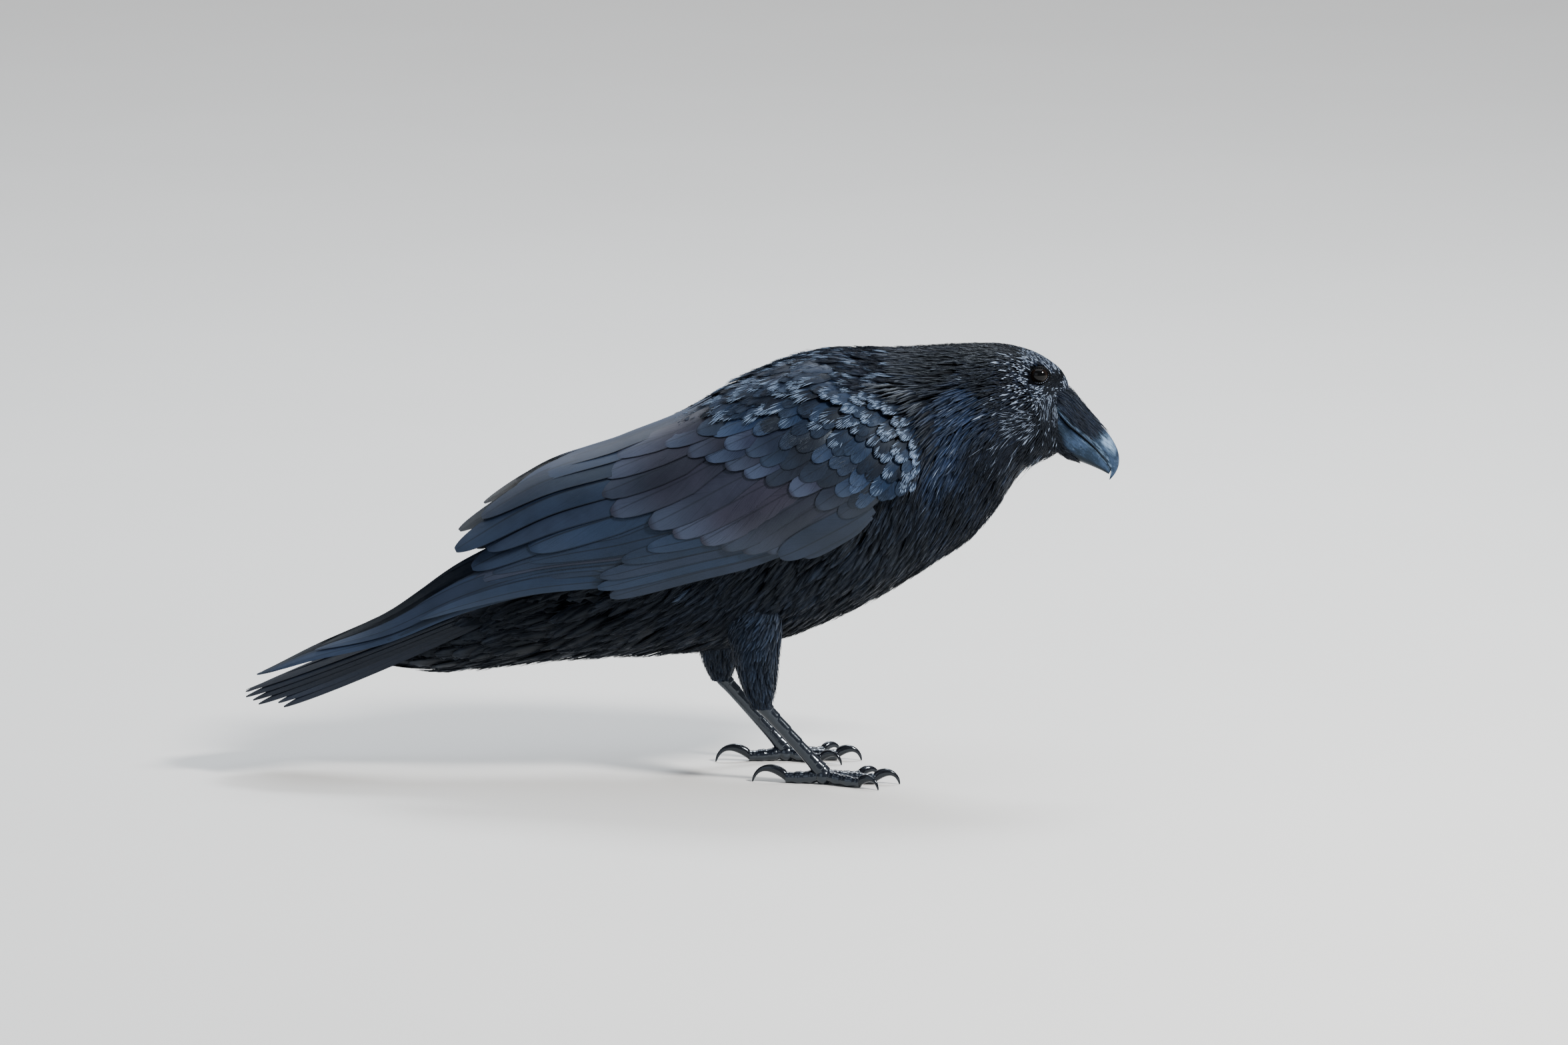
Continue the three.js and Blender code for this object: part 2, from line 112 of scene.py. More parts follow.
def table(names, *rows):
    # A dictionary for each row, by the names of its columns; a short row goes without the last ones.
    return [dict(zip(names.split(), row)) for row in rows]


def namedTable(names, *rows):
    return {row["name"]: row for row in table(names, *rows)}


# Meshes from whole arrays of points.


def makeMesh(name, points, faces, maps=None, marks=None):
    # Points (n, 3) in millimetres; faces are arrays (m, 3) or (m, 4); maps (n, 2) and marks (n) by name.
    mesh = bpy.data.meshes.new(name)
    mesh.vertices.add(len(points))
    mesh.vertices.foreach_set("co", (points * mm).astype(np.float32).ravel())
    corners = np.concatenate([f.ravel() for f in faces])
    sizes = np.concatenate([np.full(len(f), f.shape[1]) for f in faces])
    mesh.loops.add(len(corners))
    mesh.loops.foreach_set("vertex_index", corners.astype(np.int32))
    mesh.polygons.add(len(sizes))
    starts = np.concatenate([[0], np.cumsum(sizes)[:-1]])
    mesh.polygons.foreach_set("loop_start", starts.astype(np.int32))
    mesh.update(calc_edges=True)
    mesh.validate()
    mesh.shade_smooth()
    for mapName, values in (maps or {}).items():
        layer = mesh.uv_layers.new(name=mapName)
        layer.data.foreach_set("uv", values[corners].astype(np.float32).ravel())
    for markName, values in (marks or {}).items():
        mesh.attributes.new(markName, "FLOAT", "POINT").data.foreach_set("value", values.astype(np.float32))
    made = bpy.data.objects.new(name, mesh)
    bpy.context.scene.collection.objects.link(made)
    return made


def place(piece, material, slot, *nodes):
    # A finished piece rides the one body and stands for its CAD nodes.
    piece.data.materials.clear()
    piece.data.materials.append(material)
    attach(piece, "root")
    if nodes:
        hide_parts(*nodes)
    return piece


def makeSolid(name, mesh, material, slot, *nodes):
    return place(makeMesh(name, *mesh), material, slot, *nodes)


def gridFaces(rows, columns, closed):
    # Quads of a grid of points, row by row; a closed grid joins its last column to its first.
    r, c = np.meshgrid(np.arange(rows - 1), np.arange(columns if closed else columns - 1), indexing="ij")
    a, b = r * columns + c, r * columns + (c + 1) % columns
    return pack(a, b, b + columns, a + columns).reshape(-1, 4)


def tubeMesh(rings):
    # Closed skin over rings (rows, columns, 3), with a fan over each end ring.
    rows, columns = rings.shape[:2]
    quads = gridFaces(rows, columns, True)
    hubs = rings[[0, -1]].mean(1)
    points = np.concatenate([rings.reshape(-1, 3), hubs])
    ring = np.arange(columns)
    after = (ring + 1) % columns
    first = rows * columns
    foot = (rows - 1) * columns
    start = pack(after, ring, np.full(columns, first))
    end = pack(ring + foot, after + foot, np.full(columns, first + 1))
    return orient(points, [quads, np.concatenate([start, end])])


def orient(points, faces):
    # Turns every face over if the whole encloses a negative volume.
    volume = 0.0
    for f in faces:
        corner = points[f]
        for k in range(1, f.shape[1] - 1):
            volume += np.sum(np.cross(corner[:, k], corner[:, k + 1]) * corner[:, 0])
    return points, [f[:, ::-1] for f in faces] if volume < 0 else faces


def joinParts(parts):
    # One set of points and faces from several.
    points = np.concatenate([p for p, _ in parts])
    shifts = np.cumsum([0] + [len(p) for p, _ in parts])
    return points, [f + shift for (_, faces), shift in zip(parts, shifts) for f in faces]


# The hull that the feathers of head, neck and trunk lie on.

# From the tail end to the face: back x, z, belly x, z, half width, level of the widest, squareness.
hullStations = [
    [-168, 92, -197, 73.5, 13, 0, 2],
    [-150, 108, -157, 68.5, 23, 0, 2],
    [-118, 131, -114, 73, 31, 0, 2.1],
    [-78, 160, -70, 77.5, 41, 0, 2.2],
    [-45, 190, -25, 80, 48, 0.02, 2.2],
    [-12, 221, 20, 84, 54, 0.04, 2.2],
    [22, 248, 62, 90, 59, 0.05, 2.2],
    [58, 270, 100, 104, 61, 0.05, 2.2],
    [95, 283, 136, 122, 59, 0.05, 2.2],
    [128, 284.5, 168, 142, 52, 0.02, 2.15],
    [156, 285.5, 192, 158, 43, 0, 2.1],
    [180, 287, 210, 179, 34.5, 0, 2.2],
    [199, 287.5, 224, 200, 29.5, 0, 2.5],
    [217.5, 286, 235, 211, 27, 0.04, 3.2],
    [236, 280.2, 244.5, 214.5, 23.5, 0.08, 3.8],
    [250.5, 271.3, 250.5, 215, 18, 0.05, 3.2],
    [257.2, 260.3, 254, 216, 12.8, 0, 2.5],
]
lastStation = len(hullStations) - 1
eye = {"x": 236.9, "y": 15.4, "z": 269.4, "radius": 6.8, "long": 6.5, "tall": 5.55}
socket = {"deep": 3.0, "reach": 9.5, "flat": 1.1, "side": 12}
beadRow = 0.45  # how far inside the lid's middle line its beads run
# Lids: thickness, wrinkles and beads round them, size of a bead, how pointed, how round, how far under the
# ball's surface and within its own outline a lid sits, and how far clear of it the feathers stay.
lidLook = {"thick": 0.8, "wrinkles": 24, "beads": 27, "bead": 0.34, "corner": 0.05, "roll": 0.75,
           "under": 0.25, "within": 0.97, "least": 8, "clearLong": 0.7, "clearTall": 0.6, "clearIn": 2.4,
           "ripple": 0.06, "beadRipple": 0.45, "beadRise": 0.45}
muzzle = {"from": 238, "to": 252, "narrow": 0.52}


def hullSurface(t, angle, high):
    # Slices along the hull, each a superellipse in polar form about its own middle: the radius is
    # (|cos|^n + |sin|^n)^(-1/n). Angle 0 is the back, and the bird's left is positive.
    # Round each eye the side is pressed in by a soft dent, and towards the bill the face narrows.
    numbers = along(hullStations, t / lastStation)
    backX, backZ, bellyX, bellyZ, wide, level, power = np.moveaxis(numbers, -1, 0)
    c, s = np.cos(angle), np.sin(angle)
    radius = (np.abs(c) ** power + np.abs(s) ** power) ** (-1 / power)
    c, s = c * radius, s * radius
    tall = np.hypot(backX - bellyX, backZ - bellyZ) / 2
    reach = (c * np.where(c > 0, 1 - level, 1 + level) + level) * (1 + high / tall) * 0.5
    x = (backX + bellyX) / 2 + (backX - bellyX) * reach
    wide = wide * (1 - muzzle["narrow"] * smooth(muzzle["from"], muzzle["to"], x))
    y = s * (wide + high)
    z = (backZ + bellyZ) / 2 + (backZ - bellyZ) * reach
    away = np.hypot(x - eye["x"], (z - eye["z"]) * socket["flat"]) / socket["reach"]
    dent = socket["deep"] * np.exp(-(away**4)) * np.minimum(np.abs(y) / socket["side"], 1)
    return pack(x, y - np.sign(y) * dent, z)


# Depth of the coat over the skin, by station.
coatDepths = [[0, 3], [3, 6], [6, 8], [9, 7], [11, 5], [12.5, 3], [14, 1.9], [15.2, 1.8], [16, 4]]


def coatDepth(t):
    stations, depths = np.array(coatDepths).T
    return np.interp(t, stations, depths)


hullGrid = {"rows": 321, "columns": 181}


def hullAt(xz, side):
    # The hull's own two numbers for places seen from the side, by the nearest point of a fine grid.
    t = np.linspace(0, lastStation, hullGrid["rows"])
    t, angle = np.meshgrid(t, np.linspace(0, np.pi, hullGrid["columns"]), indexing="ij")
    points = hullSurface(t, angle, 0)[..., [0, 2]].reshape(-1, 2)
    nearest = [np.argmin(np.sum((points - place) ** 2, -1)) for place in xz]
    return pack(t.ravel()[nearest], angle.ravel()[nearest] * side)


# Feathers, each a thin lens on a surface.


def outline(v, shape):
    # Half width of a vane as a share: narrow at the root, full from a third of the way, closed at the tip.
    grow = shape["base"] + (1 - shape["base"]) * smooth(0, shape.get("full", 0.4), v)
    return grow * (1 - v ** shape["point"]) ** shape["blunt"]


# Where a vane's last points lie, how sharp its shaft is and how much it fades, how much the vane thins.
lensLook = {"end": 0.995, "shaftSharp": 6, "shaftFades": 0.8, "thins": 0.5}


def featherPoints(surface, plan, shape):
    # Each feather is a thin lens carried along a line on the surface. Its height over the surface goes
    # from low to high as 1 - (1 - v)^2, its middle line is bowed sideways by v^2, and across it the top
    # is a low arch less the surface's own fall, with a ridge for the shaft.
    rows, columns = shape["rows"], shape["columns"]
    count = len(plan["root"])
    one = {key: value[:, None] for key, value in plan.items()}
    v = np.sin(np.linspace(0, np.pi / 2, rows)) * lensLook["end"]
    s = np.linspace(-1, 1, columns)
    run = one["tip"] - one["root"]
    at = one["root"] + run * v[:, None]
    high = one["low"] + (one["high"] - one["low"]) * (1 - (1 - v) ** 2)
    high = high + one["curl"] * v ** shape.get("curlPower", 5)
    centre, dp, dq, normal = surfaceFrame(surface, at[..., 0], at[..., 1], high)
    forward = unit(dp * run[..., :1] + dq * run[..., 1:])
    across = np.cross(normal, forward)
    half = 0.5 * one["width"] * outline(v, shape)
    wide = half[..., None]
    aside = one["bow"] * one["length"] * v**2
    offset = (s + one["offset"][..., None] * (1 - s**2)) * wide
    arch = shape["arch"] * wide * (1 - s**2) - offset**2 / (2 * shape["round"])
    turned = one["tilt"] + one["tipTilt"] * v**3
    arch = arch + turned[..., None] * s * wide
    if shape.get("shaft"):
        ridge = shape["shaft"] * np.exp(-((s * lensLook["shaftSharp"]) ** 2))
        arch = arch + ridge * (1 - lensLook["shaftFades"] * v[:, None])
    top = centre[:, :, None] + across[:, :, None] * (offset + aside[..., None])[..., None]
    top = top + normal[:, :, None] * arch[..., None]
    thick = shape["thick"] * (1 - lensLook["thins"] * v[:, None]) * np.sqrt(1 - s[1:-1] ** 2)
    under = top[:, :, 1:-1] - normal[:, :, None] * thick[None, ..., None]
    points = np.concatenate([top, under[:, :, ::-1]], 2)
    ringS = np.concatenate([s, s[1:-1][::-1]])
    vane = pack(*np.broadcast_arrays((ringS + 1) / 2, v[:, None]))
    return points, np.broadcast_to(vane, (count,) + vane.shape)


def featherFaces(rows, columns):
    # Quads round the lens, and a strip between top and under side to close each end.
    ring = 2 * columns - 2
    side = gridFaces(rows, ring, True)[:, ::-1]
    top = np.arange(columns)
    below = np.where((top > 0) & (top < columns - 1), ring - top, top)
    cap = pack(top[:-1], top[1:], below[1:], below[:-1])
    last = (rows - 1) * ring
    quads = np.concatenate([side, cap[1:-1], cap[1:-1, ::-1] + last])
    ends = np.stack([cap[0, [0, 1, 2]], cap[-1, [0, 1, 3]]])
    return quads, np.concatenate([ends, ends[:, ::-1] + last])


bakePatch = 0.003
featherMarks = ("tone", "hue")


def makeFeathers(surface, plan, shape):
    # Points, faces and maps of all feathers of a plan; the bake map is a small patch at each root.
    points, vane = featherPoints(surface, plan, shape)
    count, rows, ring = points.shape[:3]
    shift = (np.arange(count) * rows * ring)[:, None, None]
    quads, tris = (faces[None] + shift for faces in featherFaces(rows, shape["columns"]))
    bake = plan["bake"][:, None, None] + (vane - 0.5) * bakePatch
    made = {kind: np.repeat(plan[kind], rows * ring) for kind in featherMarks}
    made.update(points=points.reshape(-1, 3), quads=quads.reshape(-1, 4), tris=tris.reshape(-1, 3))
    made.update(Vane=vane.reshape(-1, 2), OFBake=bake.reshape(-1, 2))
    return made


def featherPiece(name, sets, material, slot, *nodes):
    # One mesh from several sets of feathers.
    def joined(kind):
        return np.concatenate([s[kind] for s in sets])

    shifts = np.cumsum([0] + [len(s["points"]) for s in sets])
    faces = [s[kind] + shift for s, shift in zip(sets, shifts) for kind in ("quads", "tris")]
    maps = {kind: joined(kind) for kind in ("OFBake", "Vane")}
    marks = {kind: joined(kind) for kind in featherMarks}
    piece = makeMesh(name, joined("points"), faces, maps, marks)
    if slot != "body_feathers":
        piece.data.set_sharp_from_angle(angle=70 * degrees)
    print(name, "triangles", sum(len(f) * (f.shape[1] - 2) for f in faces))
    return place(piece, material, slot, *nodes)


def planFrom(surface, root, way, turn, length, width, low, high, rng, **more):
    # Feathers of a length in millimetres. They leave their roots by a way in space laid onto the surface,
    # or along falling p where no way is given, turned by an angle.
    _, dp, dq, normal = surfaceFrame(surface, *root.T, high)
    way = unit(-dp if way is None else way - normal * dot(way, normal))
    turn = turn[:, None]
    way = way * np.cos(turn) + np.cross(normal, way) * np.sin(turn)
    tip = root + surfaceSteps(dp, dq, way) * length[:, None]
    return finishPlan(root, tip, length, width, low, high, rng, **more)


def finishPlan(root, tip, length, width, low, high, rng, tone=(0, 1), hue=0.5, curl=0.0,
               bowSpread=0.02, offset=0.0, tilt=0.0, tipTilt=0.0):
    # The plan of a set of feathers, with the small differences from one to the next; a single number
    # stands for all of them.
    count = len(root)
    plan = {
        "hue": np.clip(hue + rng.normal(0, 0.12, count), 0, 1),
        "tone": rng.uniform(tone[0], tone[1], count),
        "curl": curl * rng.uniform(0, 1, count),
        "bow": rng.normal(0, bowSpread, count),
        "length": length, "width": width, "low": low, "high": high,
        "offset": offset, "tilt": tilt, "tipTilt": tipTilt,
    }
    plan = {key: value + np.zeros(count) for key, value in plan.items()}
    return dict(plan, root=root, tip=tip)


# Loose barbs: how far they fan, how unevenly they stand and start, how round the fringe ends, how far
# aside they start and end, and the share of the barbs with painted glints on a feather that has them.
barbLook = {"fan": 0.85, "uneven": 0.1, "starts": 0.12, "rounded": 0.3, "inner": 0.5, "outer": 1.02,
            "paleShare": 0.85}


def fringe(surface, plan, shape, rng, count, width, start, reach=0.12, frosted=0.0):
    # Loose barbs over the outer part of each feather: fine strands that fan from its middle line
    # to a little beyond its edge and tip.
    total = len(plan["root"])
    many = total * count
    one = {key: value[:, None] for key, value in plan.items()}
    fan, uneven, starts = barbLook["fan"], barbLook["uneven"], barbLook["starts"]
    s = np.linspace(-fan, fan, count)[None] + rng.uniform(-uneven, uneven, (total, count))
    run = plan["tip"] - plan["root"]
    _, dp, dq, normal = surfaceFrame(surface, *(plan["root"] + run * 0.7).T, plan["high"])
    forward = unit(dp * run[:, :1] + dq * run[:, 1:])
    aside = surfaceSteps(dp, dq, np.cross(normal, forward))
    v0 = start + rng.uniform(-starts, starts, (total, count))
    v1 = 1.0 - barbLook["rounded"] * np.abs(s) ** 2 + reach * rng.uniform(0.2, 1.0, (total, count))
    half = 0.5 * one["width"]
    crown = shape["arch"] * half * (1 - s**2) - (s * half) ** 2 / (2 * shape["round"])

    def spotAt(v, wide):
        away = s * half * wide + one["bow"] * one["length"] * v**2
        spot = one["root"] + run[:, None] * v[..., None] + aside[:, None] * away[..., None]
        return spot.reshape(-1, 2)

    def heightAt(v, share, lift):
        rise = one["low"] + (one["high"] - one["low"]) * (1 - (1 - v) ** 2)
        return (rise + crown * share + lift).ravel()

    def each(key):
        return np.repeat(plan[key], count, 0)

    strands = {
        "root": spotAt(v0, barbLook["inner"]),
        "tip": spotAt(v1, barbLook["outer"]),
        "length": each("length") * (v1 - v0).ravel(),
        "width": width * rng.uniform(0.6, 1.2, many),
        "low": heightAt(v0, 0.6, 0.1),
        "high": heightAt(np.minimum(v1, 1), 0.3, 0.35),
        "tone": np.clip(each("tone") + rng.normal(0, 0.12, many), 0, 1),
        "curl": each("curl") + rng.uniform(0, 0.6, many),
        "bow": rng.normal(0, 0.05, many),
        "hue": each("hue"),
        "offset": np.zeros(many),
        "tilt": rng.normal(0, 0.15, many),
        "tipTilt": np.zeros(many),
        "bake": each("bake"),
    }
    # Painted glints: on a share of the feathers most loose barbs get the palest tone.
    pale = (rng.random((total, 1)) < frosted) & (rng.random((total, count)) < barbLook["paleShare"])
    strands["tone"][pale.ravel()] = 1
    return makeFeathers(surface, strands, strandShape)


strandShape = {"rows": 3, "columns": 3, "base": 0.5, "point": 1.6, "blunt": 0.8, "arch": 0.25,
               "round": 60, "thick": 0.25}


# Points along a row for its length, how far a place strays from its row, and a small step of p.
scatterLook = {"samples": 361, "stray": 0.3, "step": 0.01}


def scatter(surface, low, high, gap, spacing, rng):
    # Places in staggered rows from high p to low p. Along a row they are even in true length, and where
    # the rows lie closer together than the gap some places are left out, so the cover stays even.
    places = []
    p, row = high, 0
    q = np.linspace(-np.pi, np.pi, scatterLook["samples"])
    stray, small = scatterLook["stray"], scatterLook["step"]
    while p > low:
        line, ahead = (surface(np.full_like(q, at), q, 0) for at in (p, p - small))
        stride = np.linalg.norm(ahead - line, axis=-1) / small
        arc = np.concatenate([[0], np.cumsum(np.linalg.norm(np.diff(line, axis=0), axis=-1))])
        count = max(int(arc[-1] / spacing), 4)
        at = np.arange(count) + 0.5 * (row % 2) + rng.uniform(-stray, stray, count)
        at = at * arc[-1] / count
        here = np.interp(at, arc, q)
        step = gap / stride.max()
        keep = rng.random(count) < np.interp(here, q, stride) / stride.max()
        shift = rng.uniform(-stray, stray, count) * step
        places.append(pack(p + shift, here)[keep])
        p -= step
        row += 1
    return np.concatenate(places)


# Materials.


class Link:
    # A socket that can be used in a sum.
    def __init__(self, net, socket):
        self.net, self.socket = net, socket

    def do(self, operation, *values):
        return self.net.node("ShaderNodeMath", {"operation": operation}, dict(enumerate(values)))

    def __add__(self, other):
        return self.do("ADD", self, other)

    def __sub__(self, other):
        return self.do("SUBTRACT", self, other)

    def __rsub__(self, other):
        return self.do("SUBTRACT", other, self)

    def __mul__(self, other):
        return self.do("MULTIPLY", self, other)

    def __pow__(self, other):
        return self.do("POWER", self, other)

    __radd__ = __add__
    __rmul__ = __mul__

    def absolute(self):
        return self.do("ABSOLUTE", self)

    def sine(self):
        return self.do("SINE", self)

    def between(self, low, high):
        # 0 below low and 1 above high, clamped and eased.
        ends = {"From Min": low, "From Max": high, "Value": self}
        return self.net.node("ShaderNodeMapRange", {"interpolation_type": "SMOOTHSTEP"}, ends)


class Net:
    # A material's nodes, with the shader's uniform values set on its own sockets.
    def __init__(self, name, **values):
        self.material = bpy.data.materials.new(name)
        self.material.use_nodes = True
        self.tree = self.material.node_tree
        self.shader = self.tree.nodes["Principled BSDF"]
        for key, value in values.items():
            self.shader.inputs[key.replace("_", " ")].default_value = filled(value)
        self.place = self.node("ShaderNodeTexCoord", {}, {}, "Object")

    def node(self, kind, settings=None, values=None, out=0):
        node = self.tree.nodes.new(kind)
        for key, value in (settings or {}).items():
            setattr(node, key, value)
        for key, value in (values or {}).items():
            if isinstance(value, Link):
                self.tree.links.new(value.socket, node.inputs[key])
            else:
                node.inputs[key].default_value = filled(value)
        return Link(self, node.outputs[out])

    def mix(self, factor, a, b):
        # Sockets 0, 6 and 7 are a colour mix's factor and its two colours, and 2 is its result.
        return self.node("ShaderNodeMix", {"data_type": "RGBA"}, {0: factor, 6: a, 7: b}, 2)

    def noise(self, scale, detail=3.0, roughness=0.5, vector=None):
        # Noise by the place on the object, or by another vector.
        vector = vector or self.place
        values = {"Vector": vector, "Scale": scale, "Detail": detail, "Roughness": roughness}
        return self.node("ShaderNodeTexNoise", {}, values)

    def map(self, name):
        return self.node("ShaderNodeUVMap", {"uv_map": name})

    def attribute(self, name):
        return self.node("ShaderNodeAttribute", {"attribute_name": name}, {}, "Fac")

    def split(self, vector):
        return [self.node("ShaderNodeSeparateXYZ", {}, {0: vector}, k) for k in range(3)]

    def join(self, *parts):
        return self.node("ShaderNodeCombineXYZ", {}, dict(enumerate(parts)))

    def bump(self, height, distance, strength=1.0):
        values = {"Height": height, "Distance": distance, "Strength": strength}
        return self.node("ShaderNodeBump", {}, values)

    def feed(self, **links):
        for key, link in links.items():
            self.tree.links.new(link.socket, self.shader.inputs[key.replace("_", " ")])
        return self.material


def filled(value):
    # A colour's three numbers with its alpha; anything else as it is.
    return value + (1.0,) if isinstance(value, tuple) else value


def plumage(name, look):
    # Vane colours: dark to light by each feather's own tone and by soft noise, the light one brown or blue
    # by its hue; a darker shaft, painted shade along the vane's edge, a painted sheen as a paler band
    # inside the tip, and fine slanting barbs as relief. The palest feathers get painted glints at their
    # ends.
    net = Net(
        name,
        Specular_IOR_Level=look["shine"],
        Specular_Tint=(0.70, 0.84, 1.0),
        Sheen_Weight=look["sheen"],
        Sheen_Roughness=0.4,
        Sheen_Tint=(0.45, 0.6, 0.9),
    )
    across, down, _ = net.split(net.map("Vane"))
    tone, hue = net.attribute("tone"), net.attribute("hue")
    out = (across - 0.5).absolute() * 2.0
    patches = net.noise(45.0, 3.0)
    light = net.mix(hue.between(0.1, 0.9), look["brown"], look["blue"])
    base = net.mix((tone * 0.8 + patches * 0.7 - 0.25).between(0.0, 1.0), look["dark"], light)
    # Painted sheen: a paler band inside the tip, stronger on lighter feathers.
    band = down.between(0.55, 0.93) * (1.0 - down.between(0.93, 0.995)) * look["band"]
    base = net.mix(band * tone, base, look["pale"])
    # Painted shade: the vane's edge darkened as if shadowed by the next feather.
    base = net.mix(out.between(0.90, 1.0) * look["edge"], base, look["rim"])
    base = net.mix((1.0 - out.between(0.02, 0.08)) * look["shaft"], base, look["rim"])
    fan = out + down * (1.5 - look["slant"] / 2)
    slant = net.join((down * look["slant"] - out) * look["barbs"], fan, tone * 40.0)
    barbs = net.noise(1.0, 2.0, 0.6, slant)
    base = net.mix(barbs.between(0.5, 0.3) * look["strand"], base, look["rim"])
    # Painted glints: pale streaks along the barbs at the ends of the palest feathers.
    frost = tone.between(0.90, 0.97) * down.between(0.15, 0.8) * barbs.between(0.35, 0.6)
    base = net.mix(frost * look["frost"], base, look["pale"])
    fine = net.noise(1400.0, 2.0, 0.6)
    rough = look["rough"] + (patches - 0.5) * 0.2 + (barbs - 0.5) * 0.25 - tone * 0.08
    normal = net.bump(barbs * 0.8 + fine * 0.3, 0.00016, 0.7)
    return net.feed(Base_Color=base, Roughness=rough, Normal=normal)


# pale is the colour of the painted glints and painted tip sheen; rim is the dark of the shaft and barb
# lines and of the painted shade along the vane's edge, whose strength is edge.
plumes = namedTable(
    "name dark brown blue pale rim shine sheen band shaft frost rough barbs strand slant edge",
    ("body", (0.003, 0.0034, 0.0046), (0.01, 0.01, 0.012), (0.009, 0.016, 0.034), (0.1, 0.14, 0.22),
     (0.001, 0.001, 0.0015), 0.2, 0.04, 0.15, 0.3, 0.6, 0.48, 5.0, 0.7, 0.6, 0.5),
    ("head", (0.0024, 0.0027, 0.0036), (0.011, 0.01, 0.011), (0.012, 0.024, 0.06), (0.36, 0.44, 0.58),
     (0.001, 0.001, 0.0015), 0.16, 0.03, 0.1, 0.0, 1.0, 0.46, 4.0, 0.45, 0.0, 0.6),
    ("covert", (0.0045, 0.0055, 0.009), (0.021, 0.018, 0.029), (0.011, 0.023, 0.055), (0.12, 0.17, 0.28),
     (0.002, 0.002, 0.003), 0.36, 0.07, 0.22, 0.5, 0.7, 0.38, 16.0, 0.25, 3.0, 0.7),
    ("flight", (0.0045, 0.0065, 0.012), (0.019, 0.019, 0.03), (0.01, 0.021, 0.048), (0.05, 0.07, 0.12),
     (0.002, 0.002, 0.003), 0.34, 0.07, 0.2, 0.7, 0.2, 0.4, 45.0, 0.25, 3.0, 0.7),
)
plumes["tail"] = dict(plumes["flight"], shine=0.14, sheen=0.02, blue=(0.006, 0.012, 0.028),
                      brown=(0.006, 0.007, 0.011), dark=(0.0025, 0.0032, 0.0055))
# The scapulars' pale is the colour of their painted glints.
plumes["scapular"] = dict(plumes["covert"], shine=0.1, sheen=0.01, band=0.1, frost=1.0, strand=0.7,
                          rough=0.5, pale=(0.25, 0.34, 0.49), blue=(0.009, 0.019, 0.044),
                          brown=(0.010, 0.010, 0.017))
plumes["vent"] = dict(plumes["body"], barbs=18.0, strand=0.35, slant=2.0, edge=0.7, band=0.25)
coats = {name: plumage(name + "Plumage", look) for name, look in plumes.items()}


def skinMaterial():
    # Dark skin and down under the feathers.
    net = Net("skin", Roughness=0.8, Specular_IOR_Level=0.0)
    base = net.mix(net.noise(120.0), (0.0012, 0.0013, 0.0018), (0.003, 0.0033, 0.0045))
    return net.feed(Base_Color=base, Normal=net.bump(net.noise(600.0), 0.0003))


# Colours of the horn, with lit the colour of a painted highlight and line the black of painted shade;
# strength of the painted highlight on each half, and roughness.
hornLook = {
    "dark": (0.006, 0.010, 0.019), "tipDark": (0.010, 0.018, 0.034), "light": (0.034, 0.057, 0.108),
    "speck": (0.11, 0.15, 0.22), "lit": (0.24, 0.36, 0.52), "line": (0.002, 0.0022, 0.003),
    "litShare": {"upper": 0.8, "lower": 0.5}, "rough": 0.14,
}


def hornMaterial(half):
    # Slate-blue horn with fine streaks along the bill. The marks up and down say how far a place lies
    # from the cutting edge and from the base. Highlights are painted: a strip along the cutting edge and a
    # patch high on the upper half's side past the middle. Shade is painted black along the mouth line, on
    # the lower keel and on the upper half's horn under the bristles.
    look = hornLook
    net = Net(half + "Horn", Specular_IOR_Level=0.3, Specular_Tint=(0.5, 0.74, 1.0))
    up, down = net.attribute("up"), net.attribute("down")
    x, y, z = net.split(net.place)
    alongBill = net.join((x * 0.72 - z * 0.69) * 0.25, y, x * 1.1 + z * 1.15)
    streaks = net.noise(380.0, 4.0, 0.7, alongBill)
    worn = net.noise(80.0, 4.0, 0.6)
    specks = net.noise(520.0, 3.0, 0.6)
    marbled = worn * 0.6 + streaks * 0.6
    dark = net.mix(down.between(0.3, 0.9), look["dark"], look["tipDark"])
    base = net.mix(marbled.between(0.48, 0.78), dark, look["light"])
    base = net.mix(specks.between(0.58, 0.70) * 0.3, base, look["speck"])
    rough = worn * 0.2 + look["rough"]
    if half == "lower":
        edge = up - down * 0.16
        # Painted highlight: a pale streaky strip just below the cutting edge towards the tip.
        lit = edge.between(0.05, 0.10) * (1.0 - (up - down * 0.2).between(0.10, 0.18))
        lit = lit * down.between(0.35, 0.6) * streaks.between(0.35, 0.6)
        # Painted shade: black along the mouth line and on the keel underneath.
        line = edge.between(0.035, 0.075) * (1.0 - up.between(0.66, 0.84))
    else:
        # Painted highlight: a pale streaky strip just above the cutting edge, and a patch high on the side.
        lit = up.between(0.06, 0.10) * (1.0 - up.between(0.20, 0.30)) * streaks.between(0.4, 0.6) * 0.6
        bend = ((down - 0.53) * (down - 0.53) * 8.0 + (up - 0.72) * (up - 0.72)) ** 0.5
        lit = lit + (1.0 - bend.between(0.05, 0.42)) * marbled.between(0.42, 0.68)
        # Painted shade: black along the mouth line and on the horn under the bristles, which is also made
        # rough.
        cover = up.between(0.30, 0.38) * (1.0 - down.between(0.35, 0.40))
        line = up.between(0.02, 0.05) * (1.0 - cover)
        rough = rough + cover * 0.6
    # The painted highlight, then the black of the painted shade.
    base = net.mix(lit * look["litShare"][half], base, look["lit"])
    base = net.mix(line, look["line"], base)
    normal = net.bump(streaks + specks * 0.5, 0.00025, 0.7)
    return net.feed(Base_Color=base, Roughness=rough, Normal=normal)


